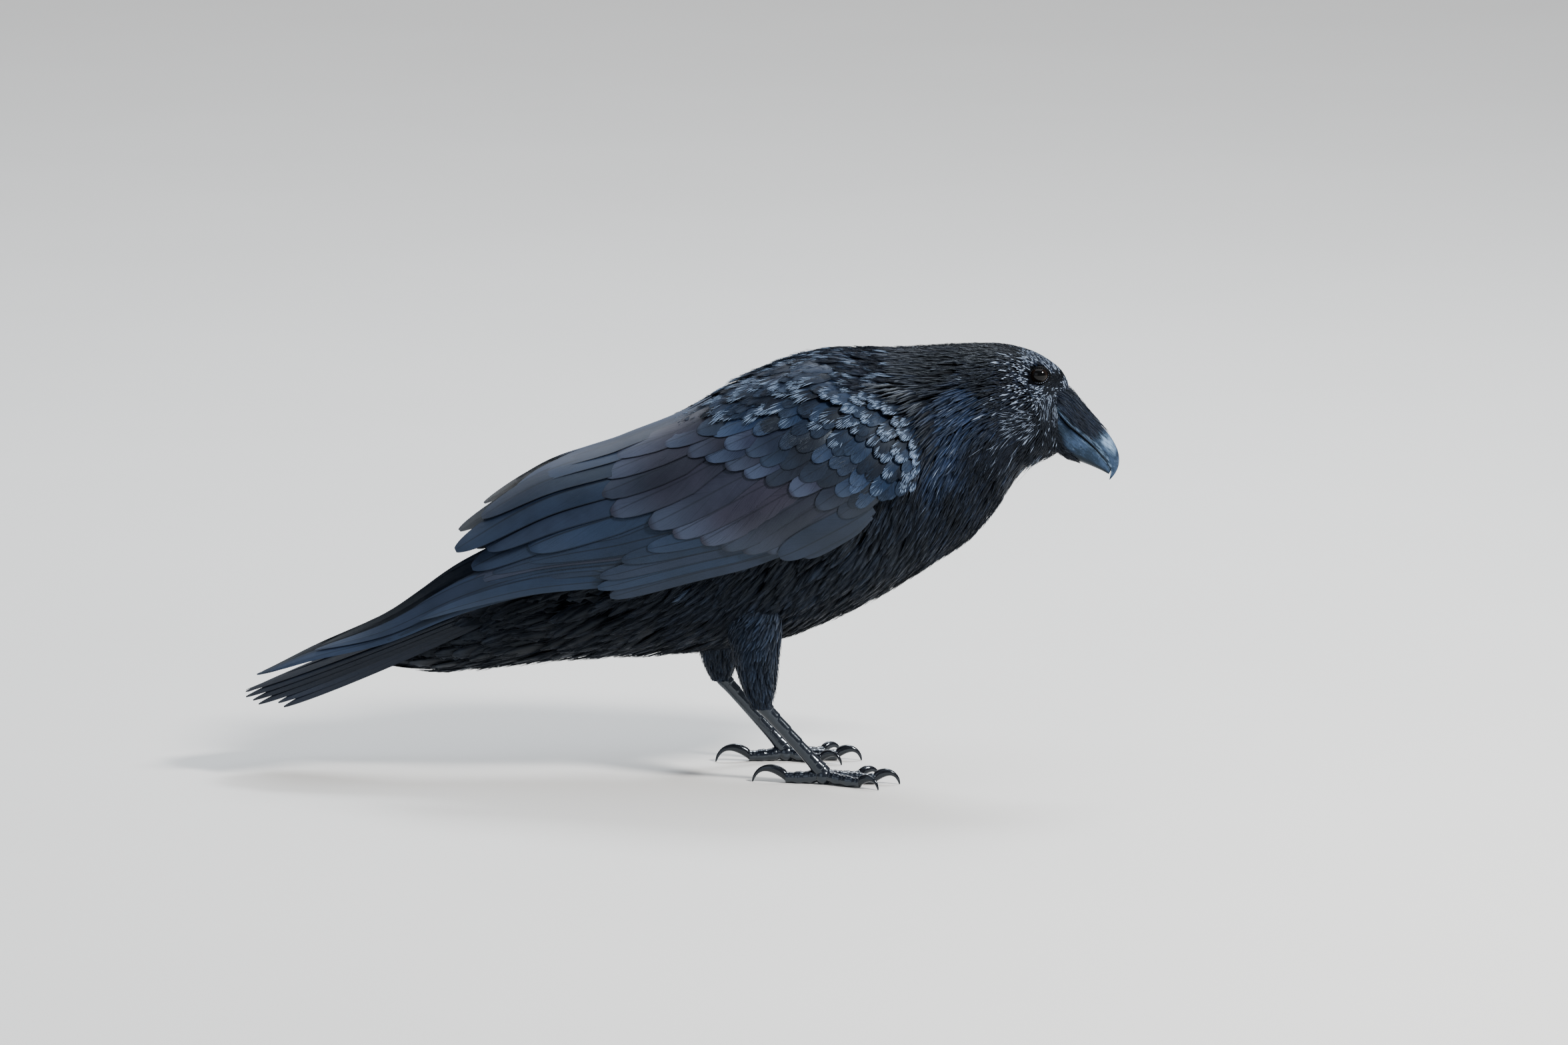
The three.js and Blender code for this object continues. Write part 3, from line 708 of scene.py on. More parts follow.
def scaleMaterial(name, dark, light, roughness, shine):
    # Glossy black scales with a fine grain.
    net = Net(name, Specular_IOR_Level=shine, Specular_Tint=(0.8, 0.9, 1.0))
    grain = net.noise(350.0, 3.0)
    base = net.mix(grain, dark, light)
    rough = grain * 0.16 + roughness
    return net.feed(Base_Color=base, Roughness=rough, Normal=net.bump(grain, 0.0002, 0.6))


def fromEye(net, long, tall):
    # Sideways and upward distance from the middle of the eye, as shares of two lengths.
    x, _, z = net.split(net.place)
    return (x - eye["x"] * mm) * (1 / long), (z - eye["z"] * mm) * (1 / tall)


def eyeMaterial():
    # Black pupil, dark brown iris with fine spokes, black rim, under a clear wet coat.
    net = Net("eye", Roughness=0.04, Specular_IOR_Level=0.2)
    x, z = fromEye(net, 1, 1)
    radius = (x * x + z * z) ** 0.5
    iris = net.mix(net.noise(900.0, 3.0), (0.004, 0.0028, 0.002), (0.010, 0.006, 0.004))
    base = net.mix(radius.between(0.0037, 0.0043), (0.001, 0.001, 0.001), iris)
    base = net.mix(radius.between(0.0055, 0.0062), base, (0.002, 0.002, 0.002))
    return net.feed(Base_Color=base)


def lidMaterial():
    # Black wrinkled skin with pale beads along the inner edge, most of them below the eye.
    net = Net("lidSkin", Roughness=0.5, Specular_IOR_Level=0.05)
    x, z = fromEye(net, (eye["long"] - beadRow) * mm, (eye["tall"] - beadRow) * mm)
    away = (x * x + z * z) ** 0.5
    grain = net.noise(900.0, 2.0)
    ring = 1.0 - (away - 1.0).absolute().between(0.025, 0.06)
    dots = (z.do("ARCTAN2", z, x) * lidLook["beads"]).sine().between(0.0, 0.8)
    beads = ring * dots * (grain * 0.5 + 0.5) * (1.0 - z.between(-0.2, 0.4) * 0.9)
    base = net.mix(beads, (0.0015, 0.0016, 0.002), (0.20, 0.24, 0.31))
    return net.feed(Base_Color=base, Normal=net.bump(grain, 0.0002, 0.6))


skinDark = skinMaterial()
lidSkin = lidMaterial()
horns = {half: hornMaterial(half) for half in ("upper", "lower")}
legScale = scaleMaterial("legScale", (0.0020, 0.0024, 0.0035), (0.008, 0.011, 0.018), 0.1, 0.75)
clawHorn = scaleMaterial("clawHorn", (0.0020, 0.0020, 0.0030), (0.007, 0.008, 0.011), 0.05, 0.5)
eyeGlass = eyeMaterial()
print("materials made")

# The skin under the feathers.

# Right foot a little ahead of the left: ankle, ball of the foot, hip, and the way the toes point.
legs = {
    "right": {"side": -1, "ankle": (55, -38, 53), "pad": (95.5, -38.5, 7), "hip": (50, -33, 122),
              "heading": -4},
    "left": {"side": 1, "ankle": (28, 38, 57), "pad": (71, 38.5, 7), "hip": (26, 33, 122), "heading": 2},
}
# Share of the way from hip to ankle, x shift, fore radius, side radius.
thighRows = [
    [-0.3, 0, 25, 6],
    [0, 0, 21, 11.5],
    [0.3, -1, 17.5, 14.8],
    [0.55, -1.4, 14.6, 13.4],
    [0.76, -1.2, 12, 10.8],
    [0.92, -1, 9.3, 8.6],
    [1.04, -0.5, 5.6, 5.6],
]


def thighSurface(leg):
    hip, ankle = np.array(leg["hip"], float), np.array(leg["ankle"], float)

    def surface(p, angle, high):
        # Level ellipses strung from hip (p = 1) to ankle (p = 0).
        share, shift, fore, wide = np.moveaxis(along(thighRows, 1 - p), -1, 0)
        centre = hip + (ankle - hip) * share[..., None]
        x = centre[..., 0] + shift + np.cos(angle) * (fore + high)
        return pack(x, centre[..., 1] + np.sin(angle) * (wide + high), centre[..., 2] + 0 * high)

    return surface


skinLook = {"rows": 200, "columns": 96, "voxel": 0.0022, "thighDepth": 3.0, "softened": 4}


def makeSkin():
    # Hull and thighs drawn in by the coat's depth, then melted into one surface.
    t, angle = ringGrid(0, lastStation, skinLook["rows"], skinLook["columns"])
    parts = [tubeMesh(hullSurface(t, angle, -coatDepth(t)))]
    for leg in legs.values():
        p, q = ringGrid(0, 1, 40, 48)
        parts.append(tubeMesh(thighSurface(leg)(p, q, -skinLook["thighDepth"])))
    skin = makeMesh("skin", *joinParts(parts))
    for kind, settings in (
        ("REMESH", {"mode": "VOXEL", "voxel_size": skinLook["voxel"], "use_smooth_shade": True}),
        ("SMOOTH", {"factor": 0.5, "iterations": skinLook["softened"]}),
    ):
        modifier = skin.modifiers.new(kind.lower(), kind)
        for key, value in settings.items():
            setattr(modifier, key, value)
    graph = bpy.context.evaluated_depsgraph_get()
    melted = bpy.data.meshes.new_from_object(skin.evaluated_get(graph))
    skin.modifiers.clear()
    skin.data = melted
    return place(skin, skinDark, "body_feathers", "trunk", "neck", "head", "thigh_right", "thigh_left")


skin = makeSkin()
print("skin made", len(skin.data.polygons))

# The folded wings.

# Shell that the folded wings lie on, an ellipse across the bird at each x:
# x, height of the centre, half height, half width.
wingShellStations = [
    [175, 222, 66, 47],
    [150, 213, 76, 59],
    [120, 200, 89.5, 67.5],
    [80, 187, 97.5, 71],
    [40, 173, 95, 71],
    [0, 158, 86, 68],
    [-40, 142, 84, 63],
    [-90, 124, 82, 56],
    [-140, 104, 64, 50],
    [-190, 87, 33, 46],
    [-240, 76, 15, 44],
    [-290, 58, 11, 42],
]


def wingSurface(side):
    def surface(x, angle, high):
        # The shell's ellipse by the angle down from the back, moved out along its normal.
        _, centre, tall, wide = np.moveaxis(atStation(wingShellStations, x), -1, 0)
        c, s = np.cos(angle), np.sin(angle)
        size = np.hypot(s * tall, c * wide)
        y = s * wide + s * tall / size * high
        return pack(x, side * y, centre + c * tall + c * wide / size * high)

    return surface


def shellPlace(x, z):
    # The shell's own two numbers for places seen from the side.
    _, centre, tall, _ = np.moveaxis(atStation(wingShellStations, x), -1, 0)
    return pack(x, np.arccos(np.clip((z - centre) / tall, -1, 1)))


def wingBake(root):
    # The shell unrolled: along the wing, and down round it.
    return pack((root[:, 0] + 300) / 500, root[:, 1] / (130 * degrees))


def spread(ends, share):
    return ends[0] + (ends[1] - ends[0]) * share


# How far a loose row strays: tips in millimetres, slope in degrees, width and bow as shares; the tilt holds
# for all rows.
looseLook = {"tips": 2.0, "slope": 3, "width": 0.08, "bow": 0.012, "tilt": 0.06}


def wingRow(side, row, rng):
    # A row of feathers: the tips lie on a curve seen from the side, each feather runs up and forward
    # from its tip by the row's slope, and its lower edge lies over the next one down.
    count, loose = row["count"], row["loose"]
    share = (np.arange(count) + 0.5) / count
    stray, broader = looseLook["slope"], looseLook["width"]
    tips = along(row["tips"], share) + rng.uniform(-1, 1, (count, 2)) * loose * looseLook["tips"]
    slope = (spread(row["slope"], share) + rng.uniform(-stray, stray, count) * loose) * degrees
    length = spread(row["length"], share)
    width = spread(row["width"], share) * (1 + rng.uniform(-broader, broader, count) * loose)
    roots = tips + pack(np.cos(slope), np.sin(slope)) * length[:, None]
    high = spread(row["high"], share)
    plan = finishPlan(shellPlace(*roots.T), shellPlace(*tips.T), length, width, row["low"], high, rng,
                      tone=row["tone"], hue=row["hue"], bowSpread=looseLook["bow"] * loose,
                      tilt=-side * looseLook["tilt"])
    plan["bake"] = wingBake(plan["root"])
    return plan


# Shapes of feathers: points along and across, width at the root, how full and how blunt the tip, arch
# over the middle, fall of the surface beside it, thickness.
shapes = namedTable(
    "name rows columns base point blunt arch round thick",
    ("soft", 5, 3, 0.4, 2.0, 0.7, 0.05, 55, 0.25),
    ("broad", 6, 5, 0.4, 2.6, 0.6, 0.05, 30, 0.25),
    ("lance", 4, 3, 0.45, 1.5, 0.95, 0.08, 40, 0.25),
    ("scale", 4, 3, 0.5, 1.7, 0.8, 0.1, 25, 0.2),
)
covertShape = {"rows": 9, "columns": 7, "base": 0.45, "point": 5, "blunt": 0.5, "arch": 0.03, "round": 76,
               "thick": 0.45, "shaft": 0.12}
flightShape = {"rows": 30, "columns": 9, "base": 0.55, "point": 7.0, "blunt": 0.5, "arch": 0.03,
               "round": 78, "thick": 0.6, "shaft": 0.3, "full": 0.3, "curlPower": 2.4}
primaryShape = dict(flightShape, point=3.4, blunt=0.62)

# Covert rows from the longest to those at the shoulder: tips seen from the side (x, z), how many, slope in
# degrees, length and width at the top and the bottom of the row, root and tip height over the shell, how
# loose the row is, tone from dark to light, hue from brown to blue.
covertRowsSeen = table(
    "tips count slope length width low high loose tone hue shape",
    ([(-38, 222), (-50, 211), (-51, 199), (-47, 185.5), (-20, 177.3), (-2, 171), (18, 166.3), (32, 162.3),
      (48, 160.5), (64, 161)],
     10, (24, 33), (104, 68), (26, 21), -2.4, (-0.9, -1.2), 0.0, (0.3, 0.8), 0.2),
    ([(-14, 231), (4, 225), (20, 219), (36, 214), (52, 208), (74, 200), (94, 189), (108, 179)],
     9, (22, 40), (62, 40), (22, 17), -3.0, (-0.4, -0.6), 1.2, (0.1, 0.8), 0.4),
    ([(8, 240), (24, 234), (42, 226), (62, 218), (82, 209), (100, 198), (113, 186)],
     10, (22, 42), (44, 30), (18, 13), -3.2, (0.0, -0.3), 1.6, (0, 0.9), 0.7),
    ([(26, 246), (44, 240), (62, 233), (80, 225), (98, 215), (112, 203), (122, 190)],
     13, (24, 48), (34, 24), (14, 11), -3.6, (0.2, 0.0), 1.8, (0, 0.88), 0.85),
    ([(46, 250), (64, 245), (82, 238), (99, 230), (114, 219), (126, 206), (132, 192)],
     16, (24, 54), (29, 20), (12, 9.5), -4.4, (0.3, 0.0), 1.8, (0, 0.9), 0.95),
    ([(68, 255), (86, 249), (102, 242), (117, 233), (130, 221), (138, 207), (140, 194)],
     20, (20, 60), (24, 17), (10.5, 8.5), -6, (0.3, -0.2), 1.7, (0, 0.95), 1),
    ([(90, 259), (106, 253), (121, 245), (134, 234), (143, 221), (147, 207), (146, 196)],
     25, (14, 64), (20, 14), (9, 7), -8.5, (0.2, -0.6), 1.5, (0, 0.8), 1),
    ([(110, 261), (124, 256), (137, 247), (147, 235), (152, 221), (153, 208), (150, 198)],
     30, (10, 66), (17, 12), (8, 6), -12, (-0.4, -1.8), 1.4, (0, 0.8), 1),
    ([(118, 266), (134, 259), (147, 248), (155, 234), (158, 219), (156, 204), (148, 192)],
     110, (8, 70), (24, 20), (3.2, 3), -13, (-0.6, -2.0), 2.0, (0, 0.5), 0.5, "lance"),
)
# Scapulars: angle down from the back, rearmost root x, width, length.
scapularRows = [(9, 10, 9, 22), (14, 14, 9, 24), (19, 22, 9, 25), (24, 30, 9, 25), (29, 38, 9, 25),
                (34, 46, 9, 24), (39, 60, 8.5, 22)]
# Scapulars' foremost root, distance apart, mean way and scatter, depth of root and height of tip, the share
# of feathers with painted glints on their barbs, and how much lower they lie near the back and at the
# shoulder. For the coverts the share with painted glints goes by their width.
scapularLook = {"front": 124, "step": 4.8, "way": (9, 6), "sunk": 3.5, "proud": 1.2, "frosted": 0.5,
                "lowAtBack": 5.5, "lowAtShoulder": 7}
covertPaintedGlints = [[8, 0.95], [9, 0.8], [10.5, 0.35], [12, 0.08], [14, 0]]
# Widths under which coverts are matt like the scapulars, and under which they have loose barbs.
covertLook = {"mattUnder": 13, "barbedUnder": 15}
wingBarbs = {
    "covert": {"count": 12, "width": 0.55, "start": 0.5, "reach": 0.06},
    "scapular": {"count": 13, "width": 0.55, "start": 0.4, "reach": 0.12},
}

# Single feathers: root x, root angle, tip x, tip angle (degrees down from the back), width, and how
# far the tip stands over the rest.
tertialsLaid = [
    (22, 9, -86, 12, 26, 1.0),
    (18, 19, -108, 18, 26, 4.0),
    (14, 30, -130, 26, 26, 9.0),
    (10, 41, -147, 38, 27, 11.0),
    (4, 52, -126, 49, 25, 6.0),
    (2, 61, -98, 61, 25, 1.5),
    (-6, 68, -136, 53, 22, 1.0),
]
primariesLaid = [
    (14, 79, -98, 68, 19, 0),
    (14, 81, -122, 64, 19, 0),
    (14, 83, -137, 62, 19, 0),
    (14, 85, -159, 60, 18, 0),
    (14, 87, -184, 55, 17, 0),
    (14, 89.5, -206, 52, 16, 0),
    (14, 92, -240, 49.5, 15, 0),
    (14, 95, -279, 47, 14, 0),
    (14, 98, -270, 52, 13, 0),
    (14, 100, -170, 68, 12, 0),
]
wingTipRise = {"right": 8.0, "left": -2.5}
primaryCovertsLaid = [
    (60, 90, -20, 82, 13, 0),
    (64, 93.5, -37, 83, 13, 0),
    (68, 97, -51.5, 87, 12, 0),
    (72, 100.5, -53, 92, 12, 0),
    (76, 104, -45, 98, 13, 0),
]
bedLaid = [(106, 22 + 11 * k, -40 - 4 * k, 20 + 9.5 * k, 32, 0) for k in range(7)]
alulaLaid = [
    (126, 103, 82, 108.5, 13, 0),
    (127, 99, 66, 104.5, 19, 0),
]
# Sets of single feathers: heights of roots and tips over the shell at the first and the last feather, tilt,
# how far the shaft lies off the middle, and how far the last ones turn on edge.
laidSets = {
    "bed": {"laid": bedLaid, "low": (-12, -9), "high": (-5.5, -5), "tilt": 0.04, "offset": 0.0},
    "tertials": {"laid": tertialsLaid, "low": (-5.0, -3.8), "high": (-0.6, -2.8), "tilt": 0.05,
                 "offset": 0.0},
    "primaryCoverts": {"laid": primaryCovertsLaid, "low": (-3.0, -5.0), "high": (-1.4, -3.2), "tilt": 0.05,
                       "offset": 0.12},
    "alula": {"laid": alulaLaid, "low": (-4.0, -2.5), "high": (-1.2, 0.4), "tilt": 0.04, "offset": 0.2},
    "primaries": {"laid": primariesLaid, "low": (-4.0, -8.0), "high": (-2.6, -5.4), "tilt": 0.06,
                  "offset": 0.25, "tipTilt": -0.5},
}
# The feather sets that make each piece of the wing.
wingPieces = {"secondaries": ["tertials"], "lower_coverts": ["primaryCoverts", "alula"],
              "primaries": ["primaries"]}


def laidFeathers(side, kind, rng, rise=0.0):
    # Feathers set one by one; heights run from the first to the last. The last ones can turn their tips on
    # edge and lift them.
    rootX, rootAngle, tipX, tipAngle, width, lift = np.array(kind["laid"], float).T
    root = pack(rootX, rootAngle * degrees)
    tip = pack(tipX, tipAngle * degrees)
    share = np.linspace(0, 1, len(rootX))
    low, high = spread(kind["low"], share), spread(kind["high"], share)
    plan = finishPlan(root, tip, rootX - tipX, width, low, high, rng, bowSpread=0.0,
                      tilt=-side * kind["tilt"], offset=-side * kind["offset"], tone=(0.2, 0.8), hue=0.6,
                      tipTilt=-side * kind.get("tipTilt", 0.0) * smooth(0.55, 0.8, share))
    plan["curl"] = lift + rise * smooth(0.45, 0.7, share)
    plan["bake"] = wingBake(root)
    return plan


def scapularPlan(surface, side, row, rng):
    # One row of scapulars, from the shoulder back; the ones near the back and at the shoulder lie lower.
    angle, rear, width, length = row
    look = scapularLook
    count = int((look["front"] - rear) / look["step"])
    x = np.linspace(look["front"], rear, count) + rng.uniform(-3, 3, count)
    turned = (angle + rng.uniform(-2.5, 2.5, count)) * degrees
    height = -look["lowAtBack"] * (1 - smooth(11, 30, angle)) - look["lowAtShoulder"] * smooth(100, 122, x)
    plan = planFrom(surface, pack(x, turned), None, -side * rng.normal(*look["way"], count) * degrees,
                    length * rng.uniform(0.8, 1.15, count), width, height - look["sunk"],
                    height + look["proud"], rng, tone=(0, 0.8), hue=0.7, curl=1.6, tilt=-side * 0.04)
    plan["bake"] = wingBake(plan["root"])
    return plan


def makeWing(name, side):
    # Coverts from the longest row to the shoulder, scapulars over them, and the long feathers one by one.
    rng = np.random.default_rng(40 + side)
    surface = wingSurface(side)
    sets = [makeFeathers(surface, laidFeathers(side, laidSets["bed"], rng), flightShape)]
    matt, collar = [], []
    for row in covertRowsSeen:
        plan = wingRow(side, row, rng)
        width = row["width"][0]
        if "shape" in row:
            collar.append(makeFeathers(surface, plan, shapes[row["shape"]]))
            continue
        kind = matt if width < covertLook["mattUnder"] else sets
        kind.append(makeFeathers(surface, plan, covertShape))
        if width < covertLook["barbedUnder"]:
            # Painted glints on the loose barbs of a share of the coverts, more on the narrower ones.
            frosted = np.interp(width, *np.array(covertPaintedGlints).T)
            kind.append(fringe(surface, plan, covertShape, rng, frosted=frosted, **wingBarbs["covert"]))
    broad = shapes["broad"]
    for row in scapularRows:
        plan = scapularPlan(surface, side, row, rng)
        matt.append(makeFeathers(surface, plan, broad))
        # Painted glints on the loose barbs of a share of the scapulars.
        frosted = scapularLook["frosted"]
        matt.append(fringe(surface, plan, broad, rng, frosted=frosted, **wingBarbs["scapular"]))
    featherPiece("coverts_" + name, sets, coats["covert"], "wing_coverts", "wing_coverts_" + name)
    featherPiece("scapulars_" + name, matt, coats["scapular"], "wing_coverts")
    featherPiece("coat_collar_" + name, collar, coats["head"], "body_feathers")

    for part, kinds in wingPieces.items():
        slot = "wing_coverts" if part == "lower_coverts" else "flight_feathers"
        shape = primaryShape if part == "primaries" else flightShape
        rise = wingTipRise[name] if part == "primaries" else 0.0
        plans = [laidFeathers(side, laidSets[kind], rng, rise) for kind in kinds]
        made = [makeFeathers(surface, plan, shape) for plan in plans]
        featherPiece(part + "_" + name, made, coats["flight"], slot, "wing_" + part + "_" + name)


for name, side in sides.items():
    makeWing(name, side)
print("wings made")

# The tail.

# Root of the middle feathers, fall in degrees, length and width of a feather and how much shorter each
# next one is, the tent's ridge and slope, and how far aside and how far down each next feather lies.
tailShape = {"rootX": -60, "rootZ": 146.6, "fall": 21.8, "length": 245, "width": 20.0,
             "steps": (0, 2, 9, 15, 31, 37), "ridge": 6, "slope": 0.62, "rootAside": (3.2, 2.5),
             "tipAside": (4.5, 5.5), "under": 0.9, "between": 0.45}


def tailSurface(p, across, high):
    # A tent that falls away on both sides of its ridge; p is the distance back from the root, negated.
    fall = tailShape["fall"] * degrees
    ridge = tailShape["ridge"]
    drop = tailShape["slope"] * (np.hypot(across, ridge) - ridge)
    x = tailShape["rootX"] + np.cos(fall) * p + np.sin(fall) * (high - drop)
    z = tailShape["rootZ"] + np.sin(fall) * p + np.cos(fall) * (high - drop)
    return pack(x, across + 0 * p, z)


def makeTail():
    # The feathers of each side lie lower and further out from one to the next.
    rng = np.random.default_rng(7)
    root, tip, high = [], [], []
    for side in sides.values():
        for i, step in enumerate(tailShape["steps"]):
            aside, apart = tailShape["rootAside"], tailShape["tipAside"]
            root.append((-30, side * (aside[0] + aside[1] * i)))
            tip.append((-(tailShape["length"] - step), side * (apart[0] + apart[1] * i)))
            high.append(-tailShape["under"] * i - (tailShape["between"] if side > 0 else 0))
    root, tip, high = np.array(root, float), np.array(tip, float), np.array(high)
    plan = finishPlan(root, tip, root[:, 0] - tip[:, 0], tailShape["width"], high, high, rng,
                      tone=(0.0, 0.4), bowSpread=0.0)
    plan["bake"] = pack(-tip[:, 0] / 300, 0.5 + tip[:, 1] / 100)
    feathers = [makeFeathers(tailSurface, plan, primaryShape)]
    featherPiece("tail_feathers", feathers, coats["tail"], "flight_feathers", "tail")


makeTail()
print("tail made")

# The coat of the body.

# How the coat lies, seen from the side: x, z, fall below straight back in degrees, length, width,
# tone, its scatter, share of feathers with painted glints at their tips, hue from brown to blue.
lieMarks = np.array([
    (225, 290, -2, 6.5, 1.2, 0.06, 0.2, 0.005, 0.2),
    (250, 274, -42, 2.6, 1.15, 0.6, 0.25, 0.4, 0.5),
    (258, 262, -46, 2.7, 1.15, 0.55, 0.25, 0.3, 0.5),
    (238, 279, -25, 2.8, 1.15, 0.5, 0.2, 0.3, 0.4),
    (251, 265, 10, 2.8, 1, 0.1, 0.1, 0, 0.2),
    (245, 262, 20, 3, 1.1, 0.2, 0.1, 0.02, 0.2),
    (238, 259, 18, 2.7, 1.15, 0.55, 0.25, 0.34, 0.5),
    (227, 268, 6, 2.8, 1.2, 0.55, 0.25, 0.42, 0.4),
    (216, 268, 6, 4.2, 1.5, 0.25, 0.25, 0.08, 0.3),
    (216, 252, 20, 6.5, 1.5, 0.25, 0.25, 0.06, 0.5),
    (226, 240, 28, 8, 1.4, 0.35, 0.2, 0.05, 0.4),
    (240, 240, 50, 5, 1.2, 0.2, 0.15, 0.05, 0.3),
    (246, 226, 60, 5, 1.2, 0.15, 0.15, 0.04, 0.3),
    (236, 220, 45, 8, 1.4, 0.25, 0.15, 0.03, 0.3),
    (218, 214, 48, 13, 2.6, 0.15, 0.2, 0, 0.5),
    (205, 268, 14, 9.5, 2, 0.15, 0.2, 0, 0.4),
    (192, 253, 36, 17, 3.2, 0.7, 0.2, 0, 1),
    (180, 231, 54, 21, 3.5, 0.75, 0.2, 0, 1),
    (172, 209, 64, 23, 3.8, 0.6, 0.2, 0, 0.9),
    (200, 222, 54, 17, 2.8, 0.25, 0.2, 0, 0.6),
    (190, 196, 60, 21, 3.5, 0.15, 0.2, 0, 0.5),
    (200, 284, 3, 11, 1.8, 0.2, 0.2, 0, 0.3),
    (175, 277, 10, 16, 2.2, 0.2, 0.2, 0, 0.3),
    (150, 275, 10, 18, 3, 0.3, 0.2, 0, 0.4),
    (163, 240, 50, 20, 3.8, 0.45, 0.2, 0, 0.6),
    (158, 205, 66, 24, 4.2, 0.25, 0.2, 0, 0.5),
    (150, 172, 62, 24, 6, 0.2, 0.2, 0, 0.5),
    (115, 155, 46, 26, 7, 0.25, 0.15, 0, 0.6),
    (120, 135, 42, 27, 7, 0.2, 0.15, 0, 0.5),
    (70, 125, 50, 27, 6.5, 0.25, 0.15, 0, 0.6),
    (30, 108, 34, 29, 7, 0.3, 0.15, 0, 0.5),
    (50, 112, 54, 26, 6, 0.25, 0.15, 0, 0.6),
    (95, 133, 48, 26, 6.5, 0.25, 0.15, 0, 0.6),
    (-30, 100, 26, 34, 12, 0.2, 0.1, 0, 0.3),
    (-80, 95, 17, 38, 13, 0.15, 0.08, 0, 0.2),
    (-150, 85, 8, 42, 13, 0.15, 0.08, 0, 0.2),
    (120, 285, 4, 20, 6.5, 0.45, 0.25, 0, 0.5),
    (60, 270, 4, 25, 9, 0.5, 0.25, 0, 0.6),
    (0, 230, 4, 30, 11, 0.35, 0.2, 0, 0.5),
    (-80, 165, 4, 36, 13, 0.2, 0.1, 0, 0.3),
    (-185, 78, 2, 44, 11, 0.15, 0.08, 0, 0.2),
])


def lieAt(points):
    # The marks weighed by 1 / distance^4, softened close to a mark.
    away = np.sum((points[:, None, [0, 2]] - lieMarks[None, :, :2]) ** 2, -1) + 6
    weight = away**-2.0
    return (weight @ lieMarks[:, 2:] / weight.sum(1, keepdims=True)).T


# Regions of the coat: plumage, stations, angles from the back in degrees, the smallest feather's length
# and width, shape, loose barbs for each feather, their width and where they start, curl of the tips, twist
# on edge, depth of the roots, scatter of the way in degrees. Some regions add the share of barbs with
# painted glints, and closer rows with the feathers tipped over one another.
regions = namedTable(
    "name plumes stations angles finest shape barbs barb start curl twist sink jitter frosted gap "
    "spacing shingle",
    ("face", "head", (13.6, 15.97), (0, 180), (2.8, 1.15), "scale", 0, 0, 0, 0.3, 0.2, 1.4, 8),
    ("crown", "head", (11.6, 13.6), (0, 180), (6.5, 1.4), "lance", 0, 0, 0, 0.2, 0.08, 1.5, 4),
    ("nape", "head", (9.6, 11.6), (0, 84), (11, 1.9), "lance", 1, 0.4, 0.3, 0.25, 0.06, 2.2, 4),
    ("throat", "head", (9.2, 11.6), (84, 180), (15, 2.7), "lance", 3, 0.45, 0.3, 1.0, 0.1, 3.0, 5),
    ("mantle", "scapular", (5.0, 9.6), (0, 62), (16, 4.2), "soft", 7, 0.55, 0.35, 0.5, 0.06, 3.2, 4,
     0.25),
    ("breast", "body", (5.8, 9.4), (56, 180), (21, 4.6), "soft", 5, 0.5, 0.25, 0.9, 0.05, 4.0, 4),
    ("belly", "body", (2.4, 5.9), (56, 180), (26, 6.6), "soft", 9, 0.6, 0.25, 1.4, 0.06, 5.0, 6),
    ("vent", "vent", (0.1, 2.6), (50, 180), (36, 10.5), "broad", 12, 0.45, 0.6, 0.5, 0.02, 3.5, 3, 0,
     0.42, 0.5, 0.09),
    ("rump", "vent", (0.15, 5.2), (0, 62), (28, 10), "soft", 5, 0.9, 0.4, 0.6, 0.04, 4.0, 3),
)


# The wing's front edge: angle down from the back and x; and how far inside it the coat is left out.
wingFront = [[12, 108], [25, 133], [45, 148], [62, 153], [76, 151], [88, 146], [98, 134], [106, 118]]
wingCover = {"angles": (24, 92), "inside": 24, "rear": -30, "deepAngles": (30, 64), "deepRear": -100}


def hiddenByWing(points):
    # True well inside the folded wing, where nothing of the body can be seen.
    x, y, z = points.T
    _, centre, tall, wide = np.moveaxis(atStation(wingShellStations, x), -1, 0)
    angle = np.arctan2(np.abs(y) / wide, (z - centre) / tall) / degrees
    front = np.interp(angle, *np.array(wingFront, float).T) - wingCover["inside"]
    (top, foot), (deepTop, deepFoot) = wingCover["angles"], wingCover["deepAngles"]
    rear = np.where((angle > deepTop) & (angle < deepFoot), wingCover["deepRear"], wingCover["rear"])
    return (angle > top) & (angle < foot) & (x < front) & (x > rear)


def nearEye(points):
    # True inside the opening of the lids.
    x, y, z = points.T
    long, tall = eye["long"] + lidLook["clearLong"], eye["tall"] + lidLook["clearTall"]
    away = np.hypot((x - eye["x"]) / long, (z - eye["z"]) / tall)
    return (away < 1) & (np.abs(y) > eye["y"] - lidLook["clearIn"])


def hullBake(root):
    # The hull unrolled: round the body, and along it.
    return pack(root[:, 1] / (2 * np.pi) + 0.5, root[:, 0] / lastStation * 0.98 + 0.01)


def coatPlan(surface, root, lie, low, high, rng, jitter, curl):
    # Feathers whose way is the lie of the coat laid onto the surface, with a small turn of their own.
    fall, length, width, tone, uneven, frosted, hue = lie
    count = len(root)
    fall = fall * degrees
    way = pack(-np.cos(fall), np.zeros(count), -np.sin(fall))
    turn = rng.normal(0, jitter, count) * degrees
    length = length * rng.uniform(0.8, 1.15, count)
    width = width * rng.uniform(0.8, 1.15, count)
    plan = planFrom(surface, root, way, turn, length, width, low, high, rng, bowSpread=0.05, hue=hue,
                    curl=curl)
    plan["tone"] = np.clip(tone + rng.normal(0, 1, count) * uneven, 0, 0.88)
    # Painted glints: a share of the feathers get the palest tone, whose ends the plumage paints pale.
    plan["tone"][rng.random(count) < frosted] = 1
    return plan


# Gap of rows and spacing in a row as shares of a feather's length and width, the ragged edge of a region in
# degrees, heights of the tips, how far the roots lie under the skin, and the last station with full depth.
coatLook = {"gap": 0.27, "spacing": 0.62, "ragged": 3, "tips": (-0.4, 0.3), "under": 0.3, "lastDeep": 14.5}


